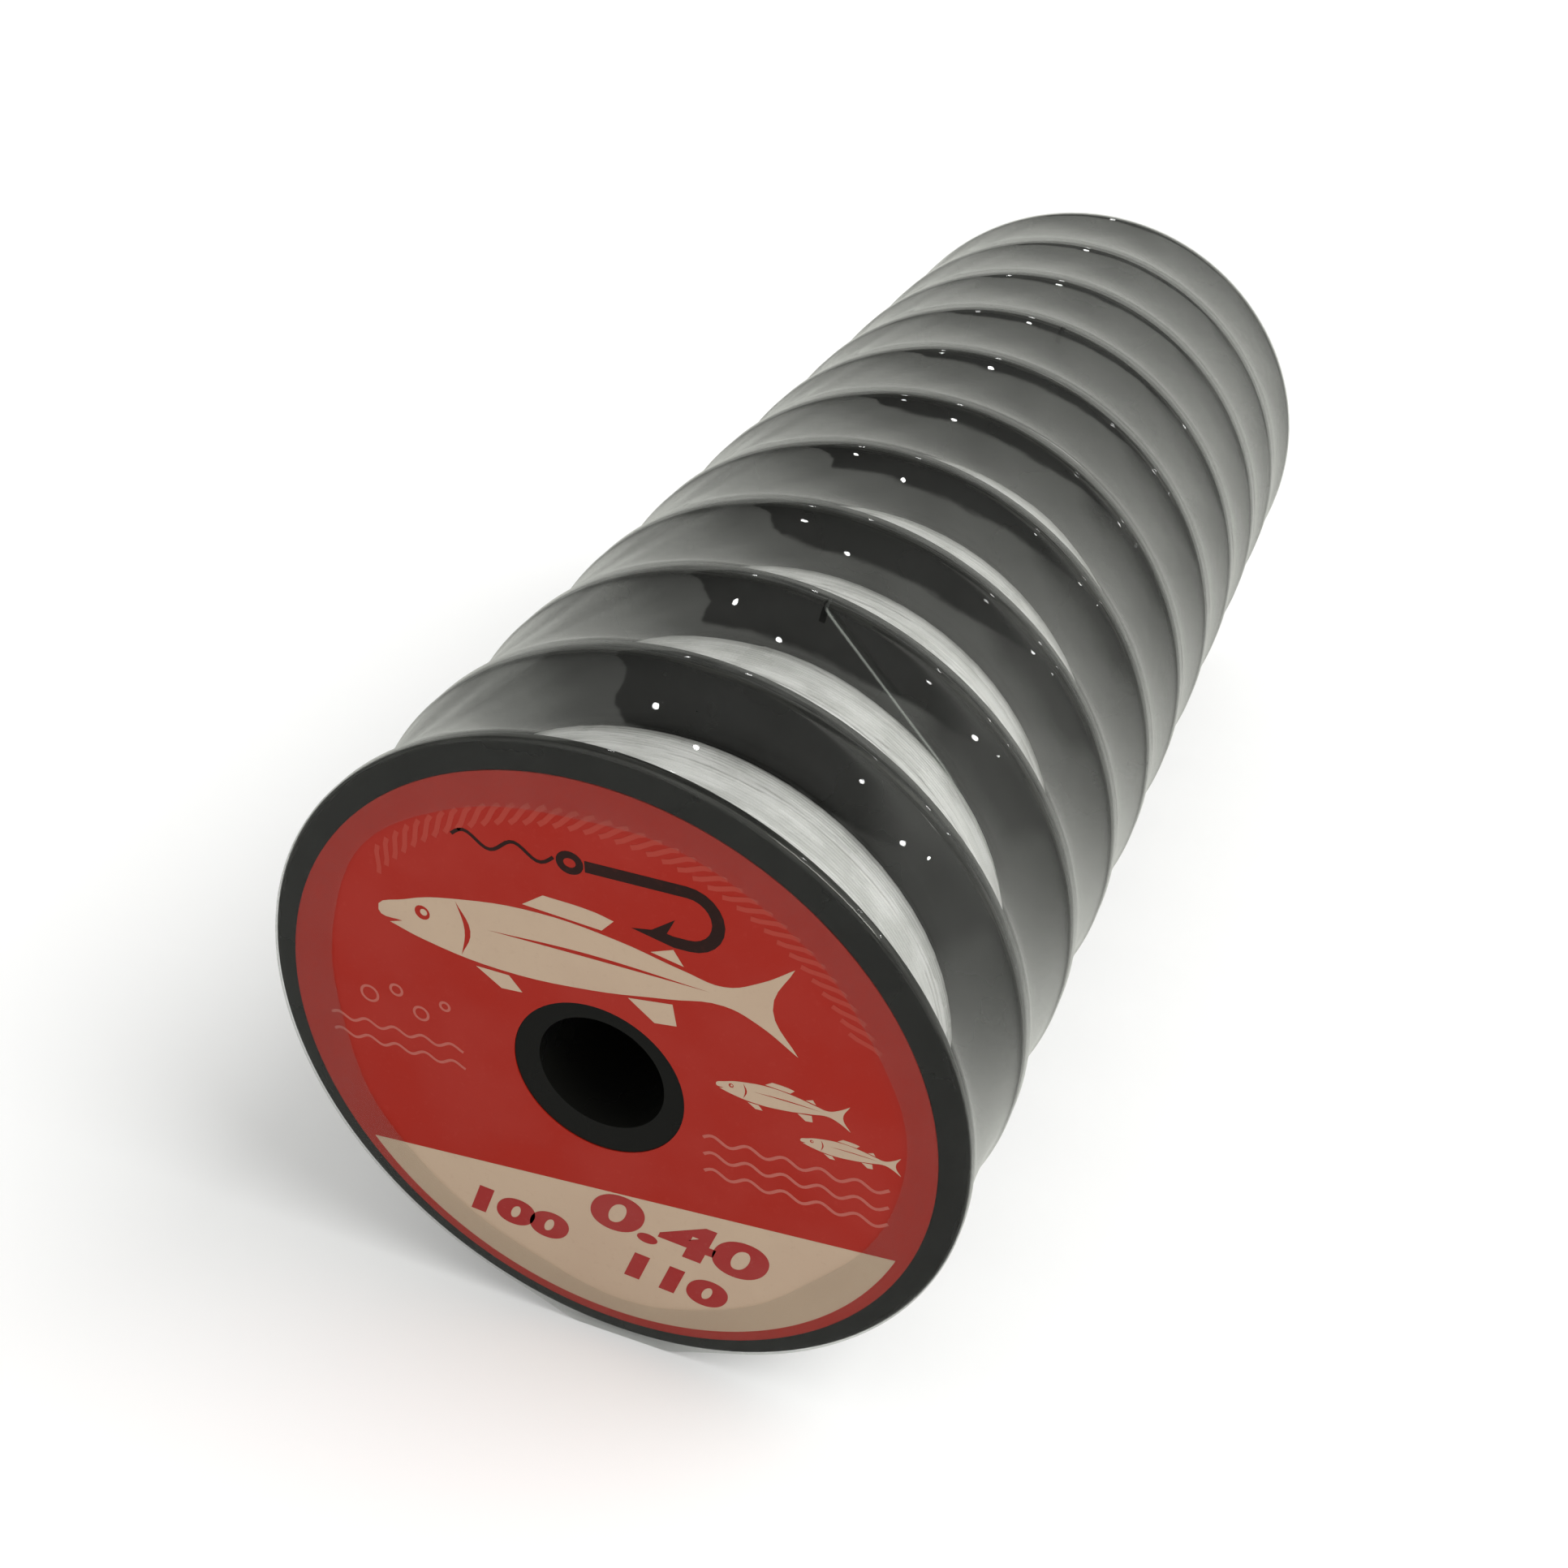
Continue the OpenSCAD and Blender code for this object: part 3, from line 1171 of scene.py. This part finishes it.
def fish_hook(shank: float, bend_r: float, width: float) -> list[Outline]:
    """A barbed hook with its eye to the left, its shank along x and its point below.

    Args:
        shank: The shank's length.
        bend_r: Radius of the bend.
        width: The wire's width.

    Returns:
        The hook, then the eye's outer and inner edge.
    """
    bend = [(bend_r * math.sin(turn), bend_r * (math.cos(turn) - 1))
            for turn in np.linspace(0, math.pi, 13)]
    low = -2 * bend_r
    hook = stroke([(-shank, 0.0), *bend, (-1.2 * width, low)], width)
    middle = len(hook.points) // 2
    hook.points[middle:middle] = [(x * width, low + z * width) for x, z in BARB]
    eye = -shank - 1.2 * width
    return [hook, oval(eye, 0.0, 1.1 * width, width), oval(eye, 0.0, 0.5 * width, 0.4 * width)]


@dataclass
class EndLabel:
    """The printed labels. The front one shows a plain fish design in the pack's colours."""

    place: SpoolPlace
    paper: Ink = Ink("label_red_paper", (0.395, 0.0145, 0.0046), (0.44, 0.031, 0.018))
    cream: Ink = Ink("label_cream_ink", (0.55, 0.41, 0.29), (0.49, 0.345, 0.245))
    pale: Ink = Ink("label_pale_ink", (0.50, 0.13, 0.10), (0.46, 0.075, 0.055))
    faint: Ink = Ink("label_faint_ink", (0.44, 0.048, 0.030), (0.44, 0.039, 0.024))
    dark: Ink = Ink("label_dark_ink", (0.030, 0.012, 0.010), (0.08, 0.016, 0.012))
    red: Ink = Ink("label_red_ink", (0.36, 0.024, 0.022), (0.39, 0.065, 0.055))
    flange_r: float = 33.0 * MM
    label_x: float = -0.3 * MM
    label_z: float = -0.7 * MM
    field_r: float = 29.6 * MM
    ink_t: float = 0.012 * MM
    fish: tuple[tuple[float, float, float], ...] = (
        (0.88, -0.01, 0.375), (0.27, 0.52, 0.09), (0.20, 0.70, -0.02))
    field_edge: tuple[Point, Point] = ((-0.768, -0.503), (0.844, -0.350))
    field_sides: int = 160
    hook_sizes: tuple[float, float, float] = (0.27, 0.080, 0.034)
    hook_at: Point = (0.27, 0.665)
    hook_line: tuple[float, ...] = (-0.37, -0.085, 0.665, 0.020, 0.14, 0.010)
    rope_degs: range = range(138, 26, -3)
    rope_strand: tuple[Point, ...] = ((2.6, 0.785), (1.2, 0.796), (-1.2, 0.828), (-2.6, 0.839))
    rope_drop: float = 0.02
    rope_w: float = 0.014
    figure_tilt_deg: float = 5.0
    figure_lean: float = 0.18
    figure_bold: float = 0.008
    figure_stretch: float = 1.6

    @property
    def face_y(self) -> float:
        """Where the front label's face lies along Y."""
        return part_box(f"label_{self.place.tag}")[0].y

    def finish(self, piece: bpy.types.Object, ink: bpy.types.Material) -> None:
        """Dresses a printed piece and fixes it to the front spool.

        Args:
            piece: The piece.
            ink: Its material.
        """
        mend(piece, gap=0.0002 * MM)
        dress(piece, ink)
        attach(piece, self.place.body)
        log_faces(piece)

    def printed(self, name: str, outlines: Sequence[Outline], ink: bpy.types.Material) -> None:
        """Prints outlines as one thin piece.

        Args:
            name: The piece's name.
            outlines: Its outlines. One that lies inside another is a hole in it.
            ink: Its material.
        """
        start_clean()
        bpy.ops.curve.primitive_bezier_curve_add()
        piece = bpy.context.object
        piece.data.splines.clear()
        piece.data.dimensions = "2D"
        piece.data.fill_mode = "BOTH"
        piece.data.extrude = self.ink_t / 2
        piece.data.resolution_u = 5
        for outline in outlines:
            spline = piece.data.splines.new("BEZIER")
            spline.bezier_points.add(len(outline.points) - 1)
            spline.use_cyclic_u = True
            for number, point in enumerate(spline.bezier_points):
                x, z = outline.points[number]
                point.co = (x * self.flange_r, z * self.flange_r, 0)
                point.handle_left_type = point.handle_right_type = outline.corner(number).value
        bpy.ops.object.convert(target="MESH")
        piece.rotation_euler = (math.pi / 2, 0, 0)
        piece.location = (0, self.face_y - self.ink_t / 2, self.place.axis_z)
        self.finish(settle(piece, name), ink)

    def numbers(self, ink: bpy.types.Material) -> None:
        """Prints the plain figures, on top of the field.

        Args:
            ink: Their material.
        """
        pieces = []
        for text, size, x, z in FIGURES:
            start_clean()
            bpy.ops.object.text_add(
                location=(x * self.flange_r, self.face_y - self.ink_t * 1.5,
                          self.place.axis_z + z * self.flange_r),
                rotation=(math.pi / 2, math.radians(self.figure_tilt_deg), 0))
            piece = bpy.context.object
            piece.data.body = text
            piece.data.size = size * self.flange_r
            piece.data.align_x = "CENTER"
            piece.data.shear = self.figure_lean
            piece.data.offset = self.figure_bold * self.flange_r
            piece.data.extrude = self.ink_t / 2
            piece.scale.x = self.figure_stretch
            bpy.ops.object.convert(target="MESH")
            pieces.append(settle(piece, "number"))
        self.finish(joined(pieces, "print_numbers"), ink)

    def field(self, ink: bpy.types.Material) -> None:
        """Cuts the pale field from a disc and gives it its thickness.

        Args:
            ink: Its material.
        """
        start_clean()
        (x0, z0), (x1, z1) = self.field_edge
        bpy.ops.mesh.primitive_circle_add(
            vertices=self.field_sides, radius=self.field_r, fill_type="NGON",
            rotation=(math.pi / 2, 0, 0),
            location=(self.label_x, self.face_y, self.place.axis_z + self.label_z))
        piece = settle(bpy.context.object, "print_field")
        with editing(piece):
            bpy.ops.mesh.bisect(
                plane_co=(x0 * self.flange_r, 0, self.place.axis_z + z0 * self.flange_r),
                plane_no=Vector((z0 - z1, 0, x1 - x0)).normalized(), clear_outer=True)
            bpy.ops.mesh.select_all(action="SELECT")
            bpy.ops.mesh.extrude_region_move(
                TRANSFORM_OT_translate={"value": (0, -self.ink_t, 0)})
        self.finish(piece, ink)

    def rope(self) -> list[Outline]:
        """Draws the twisted rope along the label's upper edge.

        Returns:
            Its strands.
        """
        strands = []
        for deg in self.rope_degs:
            marks = [(math.radians(deg + lean), r) for lean, r in self.rope_strand]
            middle = [(r * math.cos(turn), r * math.sin(turn) - self.rope_drop)
                      for turn, r in marks]
            strands.append(stroke(middle, self.rope_w))
        return strands

    def build(self) -> None:
        """Dresses the labels and prints the front one."""
        paper = self.paper.material()
        for place in PLACES:
            dress(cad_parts[f"label_{place.tag}"], paper)
        cream, pale, dark, red = (
            ink.material() for ink in (self.cream, self.pale, self.dark, self.red))
        self.field(cream)
        school = [part.moved(scale, x, z) for scale, x, z in self.fish for part in FISH]
        self.printed("print_fish", school, cream)
        waves = [wave(*swell) for swell in WATER]
        waves += [oval(x, z, edge, edge) for x, z, r in BUBBLES for edge in (r, r - BUBBLE_WALL)]
        self.printed("print_waves", waves, pale)
        self.printed("print_rope", self.rope(), self.faint.material())
        tackle = [part.moved(1.0, *self.hook_at) for part in fish_hook(*self.hook_sizes)]
        self.printed("print_tackle", [*tackle, wave(*self.hook_line)], dark)
        self.numbers(red)


# ---- film -------------------------------------------------------------------------------


@dataclass
class ShrinkFilm:
    """The clear film: tight over the rims, drawn in between them, crumpled at both lips."""

    wall: float = 0.06 * MM
    rim_r: float = 33.12 * MM
    lip_r: float = 26.4 * MM
    lip_out: float = 0.28 * MM
    corner_r: float = 0.45 * MM
    sag: float = 0.5 * MM
    dip: Range = (0.16 * MM, 0.04 * MM)
    dip_w: Range = (1.1 * MM, 0.4 * MM)
    end_draw: float = 0.45 * MM
    spool_w: float = 16.0 * MM
    flange_t: float = 1.0 * MM
    strip_w: float = 10.0 * MM
    strip_z: float = 0.02 * MM
    steps: int = 240
    arc_ways: tuple[float, ...] = (0.0, 0.3, 0.65, 1.1, 1.8, 2.9, 4.4, 6.1)
    lip_points: int = 8
    corner_steps: int = 4
    rise_limit: float = 33.39 * MM
    steepest: float = 1.2  # angle in radians up to which a flat is followed
    # Pleats: their count, height, how far they sway, at what count, and their shift.
    pleat_waves: tuple[tuple[float, ...], ...] = (
        (23, 1.0, 2, 5, 0.0), (41, 0.8, 0, 0, 1.3), (67, 0.6, 3, 3, 0.0))
    pleat_h: float = 0.008 * MM
    # The lips' ragged edges: count, height in millimetres and shift.
    ragged_waves: tuple[tuple[float, float, float], ...] = (
        (3, 0.55, 0.6), (5, 0.40, 2.1), (11, 0.12, 0.0))
    ragged_out: float = 0.9 * MM
    # Pull lines: count, height and shift from one spool to the next.
    pull_waves: tuple[tuple[float, float, float], ...] = (
        (17, 1.0, 1.7), (29, 0.7, -2.3), (53, 0.4, 0.9))
    pull_h: Range = (0.014, 0.034)  # in millimetres, all round and what the left side adds
    side_from_deg: float = 100.0  # where the left side begins, up from +X
    side_over_deg: float = 30.0

    def half_lip(self, y_lip: float, side: int) -> list[Point]:
        """The outline of one lip and the corner round the rim.

        Args:
            y_lip: Where the lip lies along Y.
            side: 1 for the front lip, -1 for the rear one.

        Returns:
            Points as (y, radius), from the lip's edge to the rim.
        """
        flat_r = self.rim_r - self.corner_r
        points = [(y_lip, self.lip_r + (flat_r - self.lip_r) * k / self.lip_points)
                  for k in range(self.lip_points)]
        for k in range(self.corner_steps + 1):
            turn = math.pi / 2 * k / self.corner_steps
            points.append((y_lip + side * self.corner_r * (1 - math.cos(turn)),
                           flat_r + self.corner_r * math.sin(turn)))
        return points

    def drawn_in(self, way: float, number: int) -> float:
        """How far the film is drawn in between a spool's flanges.

        Args:
            way: The way along Y from the front flange.
            number: The spool's number. The film is tighter towards the back.

        Returns:
            The way inwards.
        """
        span = self.spool_w - 2 * self.flange_t
        share = way / span
        back = (number - 1) / (len(PLACES) - 1)
        dip = self.dip[0] + (self.dip[1] - self.dip[0]) * back
        off = max(math.exp(-edge / width) for edge, width in zip((way, span - way), self.dip_w))
        return 4 * self.sag * share * (1 - share) + dip * (1 - off)

    def outline(self) -> list[Point]:
        """Draws the film's whole outline.

        Returns:
            Points as (y, radius), from the front lip's edge to the rear lip's.
        """
        front = PLACES[0].front_y - self.lip_out
        back = PLACES[-1].front_y + self.spool_w + self.lip_out
        points = self.half_lip(front, 1)
        for place in PLACES:
            start = place.front_y + self.flange_t
            span = self.spool_w - 2 * self.flange_t
            ways = [way * MM for way in self.arc_ways]
            ways += [span - way for way in reversed(ways)]
            points += [(start + way, self.rim_r - self.drawn_in(way, place.number))
                       for way in ways]
            if place is not PLACES[-1]:
                points.append((start + span + (PITCH - span) / 2, self.rim_r))
        return points + self.half_lip(back, -1)[::-1]

    def flattened(self, co: np.ndarray) -> np.ndarray:
        """Draws the film down to the flat strip that the pack lies on.

        Args:
            co: Points about the Y axis.

        Returns:
            The moved points.
        """
        drop, half = AXIS_Z - self.strip_z, self.strip_w / 2
        radius = np.hypot(co[:, 0], co[:, 2])
        down = np.abs(np.arctan2(co[:, 0], -co[:, 2]))
        to_edge = math.atan2(half, drop)
        edge_r = math.hypot(half, drop)
        touch = to_edge + np.arccos(np.clip(radius / edge_r, -1, 1))
        slanted = radius / np.cos(np.clip(touch - down, 0, self.steepest))
        flat = drop / np.cos(np.clip(down, 0, self.steepest))
        wanted = np.where(down < to_edge, flat, np.where(down < touch, slanted, radius))
        flat_r = self.rim_r - self.corner_r
        share = np.clip((radius - self.lip_r) / (flat_r - self.lip_r), 0, 1) ** 2
        grow = 1 + share * (wanted / radius - 1)
        return np.column_stack([co[:, 0] * grow, co[:, 1], co[:, 2] * grow])

    def creased(self, co: np.ndarray) -> np.ndarray:
        """Adds the film's wrinkles: pleats on the lips, pull lines between the rims.

        Args:
            co: Points about the Y axis.

        Returns:
            The moved points.
        """
        x, y, z = co.T
        radius, turn = np.hypot(x, z), np.arctan2(z, x)
        front = PLACES[0].front_y
        back = PLACES[-1].front_y + self.spool_w
        on_lip = (radius < self.rim_r - self.corner_r) & ((y < front) | (y > back))
        inward = np.clip((self.rim_r - self.corner_r - radius) / (self.rim_r - self.lip_r), 0, 1)
        pleats = sum(height * np.sin(count * turn + sway * np.sin(pace * turn) + shift)
                     for count, height, sway, pace, shift in self.pleat_waves)
        ragged = sum(height * np.sin(count * turn + shift)
                     for count, height, shift in self.ragged_waves) * MM
        new_r = np.where(on_lip, radius + (ragged + self.ragged_out) * inward**2, radius)
        new_y = np.where(on_lip, y + self.pleat_h * pleats * inward, y)
        along = np.mod(y - front, PITCH)
        share = np.clip((along - self.flange_t) / (self.spool_w - 2 * self.flange_t), 0, 1)
        middle = np.where(on_lip, 0, 4 * share * (1 - share))
        number = np.floor((y - front) / PITCH)
        lean = turn + FOLD_LEAN * y
        pull = sum(height * np.sin(count * lean + shift * number)
                   for count, height, shift in self.pull_waves)
        left = np.clip((turn - math.radians(self.side_from_deg))
                       / math.radians(self.side_over_deg), 0, 1)
        left = left * left * (3 - 2 * left)
        least, more = self.pull_h
        new_r = new_r + (least + more * left) * MM * pull * middle
        # The first spool's film is drawn in deepest a third of the way back, where this is 1.
        drawn = np.where(on_lip | (number > 0), 0, 27 / 4 * share * (1 - share)**2)
        new_r = new_r - self.end_draw * left * drawn
        new_r = np.minimum(new_r, self.rise_limit)
        return np.column_stack([new_r * np.cos(turn), new_y, new_r * np.sin(turn)])

    def build(self, film: bpy.types.Material) -> None:
        """Spins the outline, creases and flattens it, and gives it its wall and its finish.

        Args:
            film: Its material.
        """
        shell = revolved("film_wrap", self.outline(), self.steps, closed=False)
        move_points(shell, self.creased)
        move_points(shell, self.flattened)
        shell.location = (0, 0, AXIS_Z)
        settle(shell, "film_wrap")
        with editing(shell):
            bpy.ops.mesh.normals_make_consistent(inside=False)
        apply_modifier(shell, "SOLIDIFY", thickness=self.wall, offset=-1.0)
        mend(shell, gap=0.0005 * MM)
        smooth(shell, angle_deg=60)
        dress(shell, film)
        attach(shell, "film_sleeve")
        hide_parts("shrink_film")
        log_faces(shell)


# ---- studio -----------------------------------------------------------------------------


@dataclass(frozen=True)
class Lamp:
    """A small round lamp, seen from the pack.

    Attributes:
        turn_deg: Its way round from +Y towards +X.
        rise_deg: Its height above the floor.
        power: Its power in watts.
        radius: Its radius.
    """

    turn_deg: float
    rise_deg: float
    power: float = 0.65
    radius: float = 0.036


@dataclass
class Studio:
    """Camera, floor, soft room light, one large soft lamp and a few small ones."""

    camera_at: Vector = field(default_factory=lambda: Vector((0.056877, -0.177960, 0.135541)))
    look: Vector = field(default_factory=lambda: Vector((-0.3195, 0.7748, -0.5455)))
    lens: float = 39.77
    sensor: float = 36.0
    clip_from: float = 5 * MM
    floor_size: float = 8.0
    lamps: tuple[Lamp, ...] = (
        Lamp(-24.0, 36.8), Lamp(-8.2, 35.3), Lamp(36.7, 36.2), Lamp(42.3, 19.8),
        Lamp(47.0, 14.5, 0.3, 0.02),
    )
    lamp_distance: float = 3.0
    key_way: Vector = field(default_factory=lambda: Vector((0.70, 0.08, 0.71)))
    key_angle_deg: float = 50.0
    key_strength: float = 2.3
    room: float = 0.58
    ceiling: float = 0.06
    ceiling_rise_deg: float = 34.5
    ceiling_droop: float = 0.0115
    ceiling_middle_deg: float = 2.0
    ceiling_slant: float = 1.5
    ceiling_slant_at_deg: float = 28.5
    ceiling_left_deg: Range = (-29.0, -27.0)
    ceiling_right_deg: Range = (44.0, 32.0)
    ceiling_soft_deg: Range = (-1.5, 1.0)
    room_tint: Colour = (1.0, 1.0, 0.985)
    shine_tint: Colour = (0.985, 1.0, 0.93)
    below: tuple[Point, ...] = (
        (-180, 0.10), (-100, 0.17), (-70, 0.36), (-56, 0.42), (-42, 0.48), (-30, 0.54),
        (-18, 0.62), (10, 0.57), (24, 0.54), (45, 0.44), (60, 0.42), (110, 0.12), (180, 0.10))
    wall_low: tuple[Point, ...] = (
        (-180, 0.34), (-130, 0.30), (-100, 0.19), (-70, 0.36), (-56, 0.38), (-42, 0.43),
        (-30, 0.48), (-18, 0.55), (-4, 0.62), (10, 0.57), (24, 0.64), (32, 0.53), (38, 0.31),
        (47, 0.28), (56, 0.40), (80, 0.57), (110, 0.16), (135, 0.30), (180, 0.34))
    wall_high: tuple[Point, ...] = (
        (-180, 0.38), (-130, 0.32), (-100, 0.12), (-56, 0.20), (-42, 0.26), (-30, 0.36),
        (-18, 0.40), (-8, 0.46), (0, 0.44), (8, 0.56), (26, 0.60), (33, 0.22), (40, 0.30),
        (47, 0.52), (80, 0.50), (110, 0.16), (135, 0.32), (180, 0.38))
    window_turn: Range = (81.0, 12.0)
    window_rise: Range = (43.0, 20.0)
    window_soft_deg: float = 5.0
    window_level: float = 5.0
    below_deg: float = -12.0
    level_deg: float = -3.0
    low_deg: float = 8.0
    high_deg: float = 24.0

    def camera(self) -> None:
        """Sets the camera."""
        ahead = self.look.normalized()
        right = ahead.cross(Vector((0, 0, 1))).normalized()
        up = right.cross(ahead)
        start_clean()
        bpy.ops.object.camera_add()
        camera = bpy.context.object
        camera.name = "camera"
        turn = Matrix((right, up, -ahead)).transposed().to_4x4()
        camera.matrix_world = Matrix.Translation(self.camera_at) @ turn
        camera.data.lens = self.lens
        camera.data.sensor_width = self.sensor
        camera.data.clip_start = self.clip_from
        bpy.context.scene.camera = camera

    def floor(self) -> None:
        """Lays the pale floor. What shines sees the room's light below the horizon instead."""
        start_clean()
        bpy.ops.mesh.primitive_plane_add(size=self.floor_size)
        floor = settle(bpy.context.object, "floor")
        dress(floor, PaleFloor().material())
        floor.visible_glossy = False

    def key(self) -> None:
        """Hangs the large soft lamp, far off for an even floor, and out of all gloss."""
        start_clean()
        bpy.ops.object.light_add(type="SUN")
        lamp = bpy.context.object
        lamp.name = "key_light"
        lamp.data.angle = math.radians(self.key_angle_deg)
        lamp.data.energy = self.key_strength
        lamp.rotation_euler = self.key_way.to_track_quat("Z", "Y").to_euler()
        lamp.visible_glossy = False

    def small_lamps(self) -> None:
        """Hangs the small lamps, which show as dots in the film."""
        for lamp in self.lamps:
            turn, rise = math.radians(lamp.turn_deg), math.radians(lamp.rise_deg)
            way = Vector((math.sin(turn) * math.cos(rise), math.cos(turn) * math.cos(rise),
                          math.sin(rise)))
            start_clean()
            bpy.ops.object.light_add(type="POINT", location=way * self.lamp_distance)
            light = bpy.context.object
            light.data.energy = lamp.power
            light.data.shadow_soft_size = lamp.radius
            light.visible_camera = False

    def room_light(self) -> None:
        """Fills the room: even light on what is dull, walls and a window in what shines."""
        world = bpy.data.worlds.new("room")
        world.use_nodes = True
        bpy.context.scene.world = world
        g = Graph(world.node_tree)
        ray = g.add("ShaderNodeLightPath").outputs
        way = g.add("ShaderNodeSeparateXYZ",
                    {0: g.add("ShaderNodeTexCoord").outputs["Generated"]}).outputs
        turn = g.times(g.math("ARCTAN2", way[0], way[1]), 180 / math.pi)
        rise = g.times(g.math("ARCSINE", way[2]), 180 / math.pi)
        off = g.minus(turn, self.ceiling_middle_deg)
        over = g.plus(g.minus(rise, self.ceiling_rise_deg), g.times(off, off, self.ceiling_droop))
        edge = g.plus(
            turn, g.times(g.minus(rise, self.ceiling_slant_at_deg), self.ceiling_slant))
        dark = g.times(g.span(over, *self.ceiling_soft_deg), g.span(edge, *self.ceiling_left_deg),
                       g.span(turn, *self.ceiling_right_deg))
        level = g.between(g.span(rise, self.below_deg, self.level_deg),
                          g.steps(turn, self.below), g.steps(turn, self.wall_low))
        level = g.between(g.span(rise, self.low_deg, self.high_deg),
                          level, g.steps(turn, self.wall_high))
        level = g.between(dark, level, self.ceiling)
        lit = [g.span(g.math("ABSOLUTE", g.minus(angle, middle)),
                      half, half - self.window_soft_deg)
               for angle, (middle, half) in ((turn, self.window_turn), (rise, self.window_rise))]
        level = g.between(g.times(*lit), level, self.window_level)
        even = g.between(ray["Is Camera Ray"], self.room, 1.0)
        strength = g.between(ray["Is Glossy Ray"], even, level)
        colour = g.mix(ray["Is Glossy Ray"], self.room_tint, self.shine_tint)
        shade = g.add("ShaderNodeBackground", {"Color": colour, "Strength": strength})
        g.add("ShaderNodeOutputWorld", {"Surface": shade.outputs[0]})

    def build(self) -> None:
        """Sets the camera first, then the floor and the lights."""
        self.camera()
        self.floor()
        self.key()
        self.small_lamps()
        self.room_light()
        bpy.context.scene.view_settings.view_transform = "Standard"
        LOG.info("studio: camera, floor and %d lamps", len(self.lamps) + 1)


# ---- the whole pack ---------------------------------------------------------------------


def main() -> None:
    """Builds the studio and every sub-assembly."""
    logging.basicConfig(level=logging.INFO, format="%(name)s: %(message)s")
    Studio().build()
    plastic = MouldedPlastic().material()
    line = NylonLine(PLACES[0].front_y).material()
    for place in PLACES:
        SpoolBody(place, plastic).build()
    Winding(line).build()
    LineTail(SingleLine().material(), PLACES[1]).build()
    EndLabel(PLACES[0]).build()
    wrap = ShrinkFilm()
    ends_y = (PLACES[0].front_y, PLACES[-1].front_y + wrap.spool_w)
    wrap.build(ClearFilm(ends_y, rim_y=PLACES[1].front_y).material())
    start_clean()


if __name__ == "__main__":
    main()
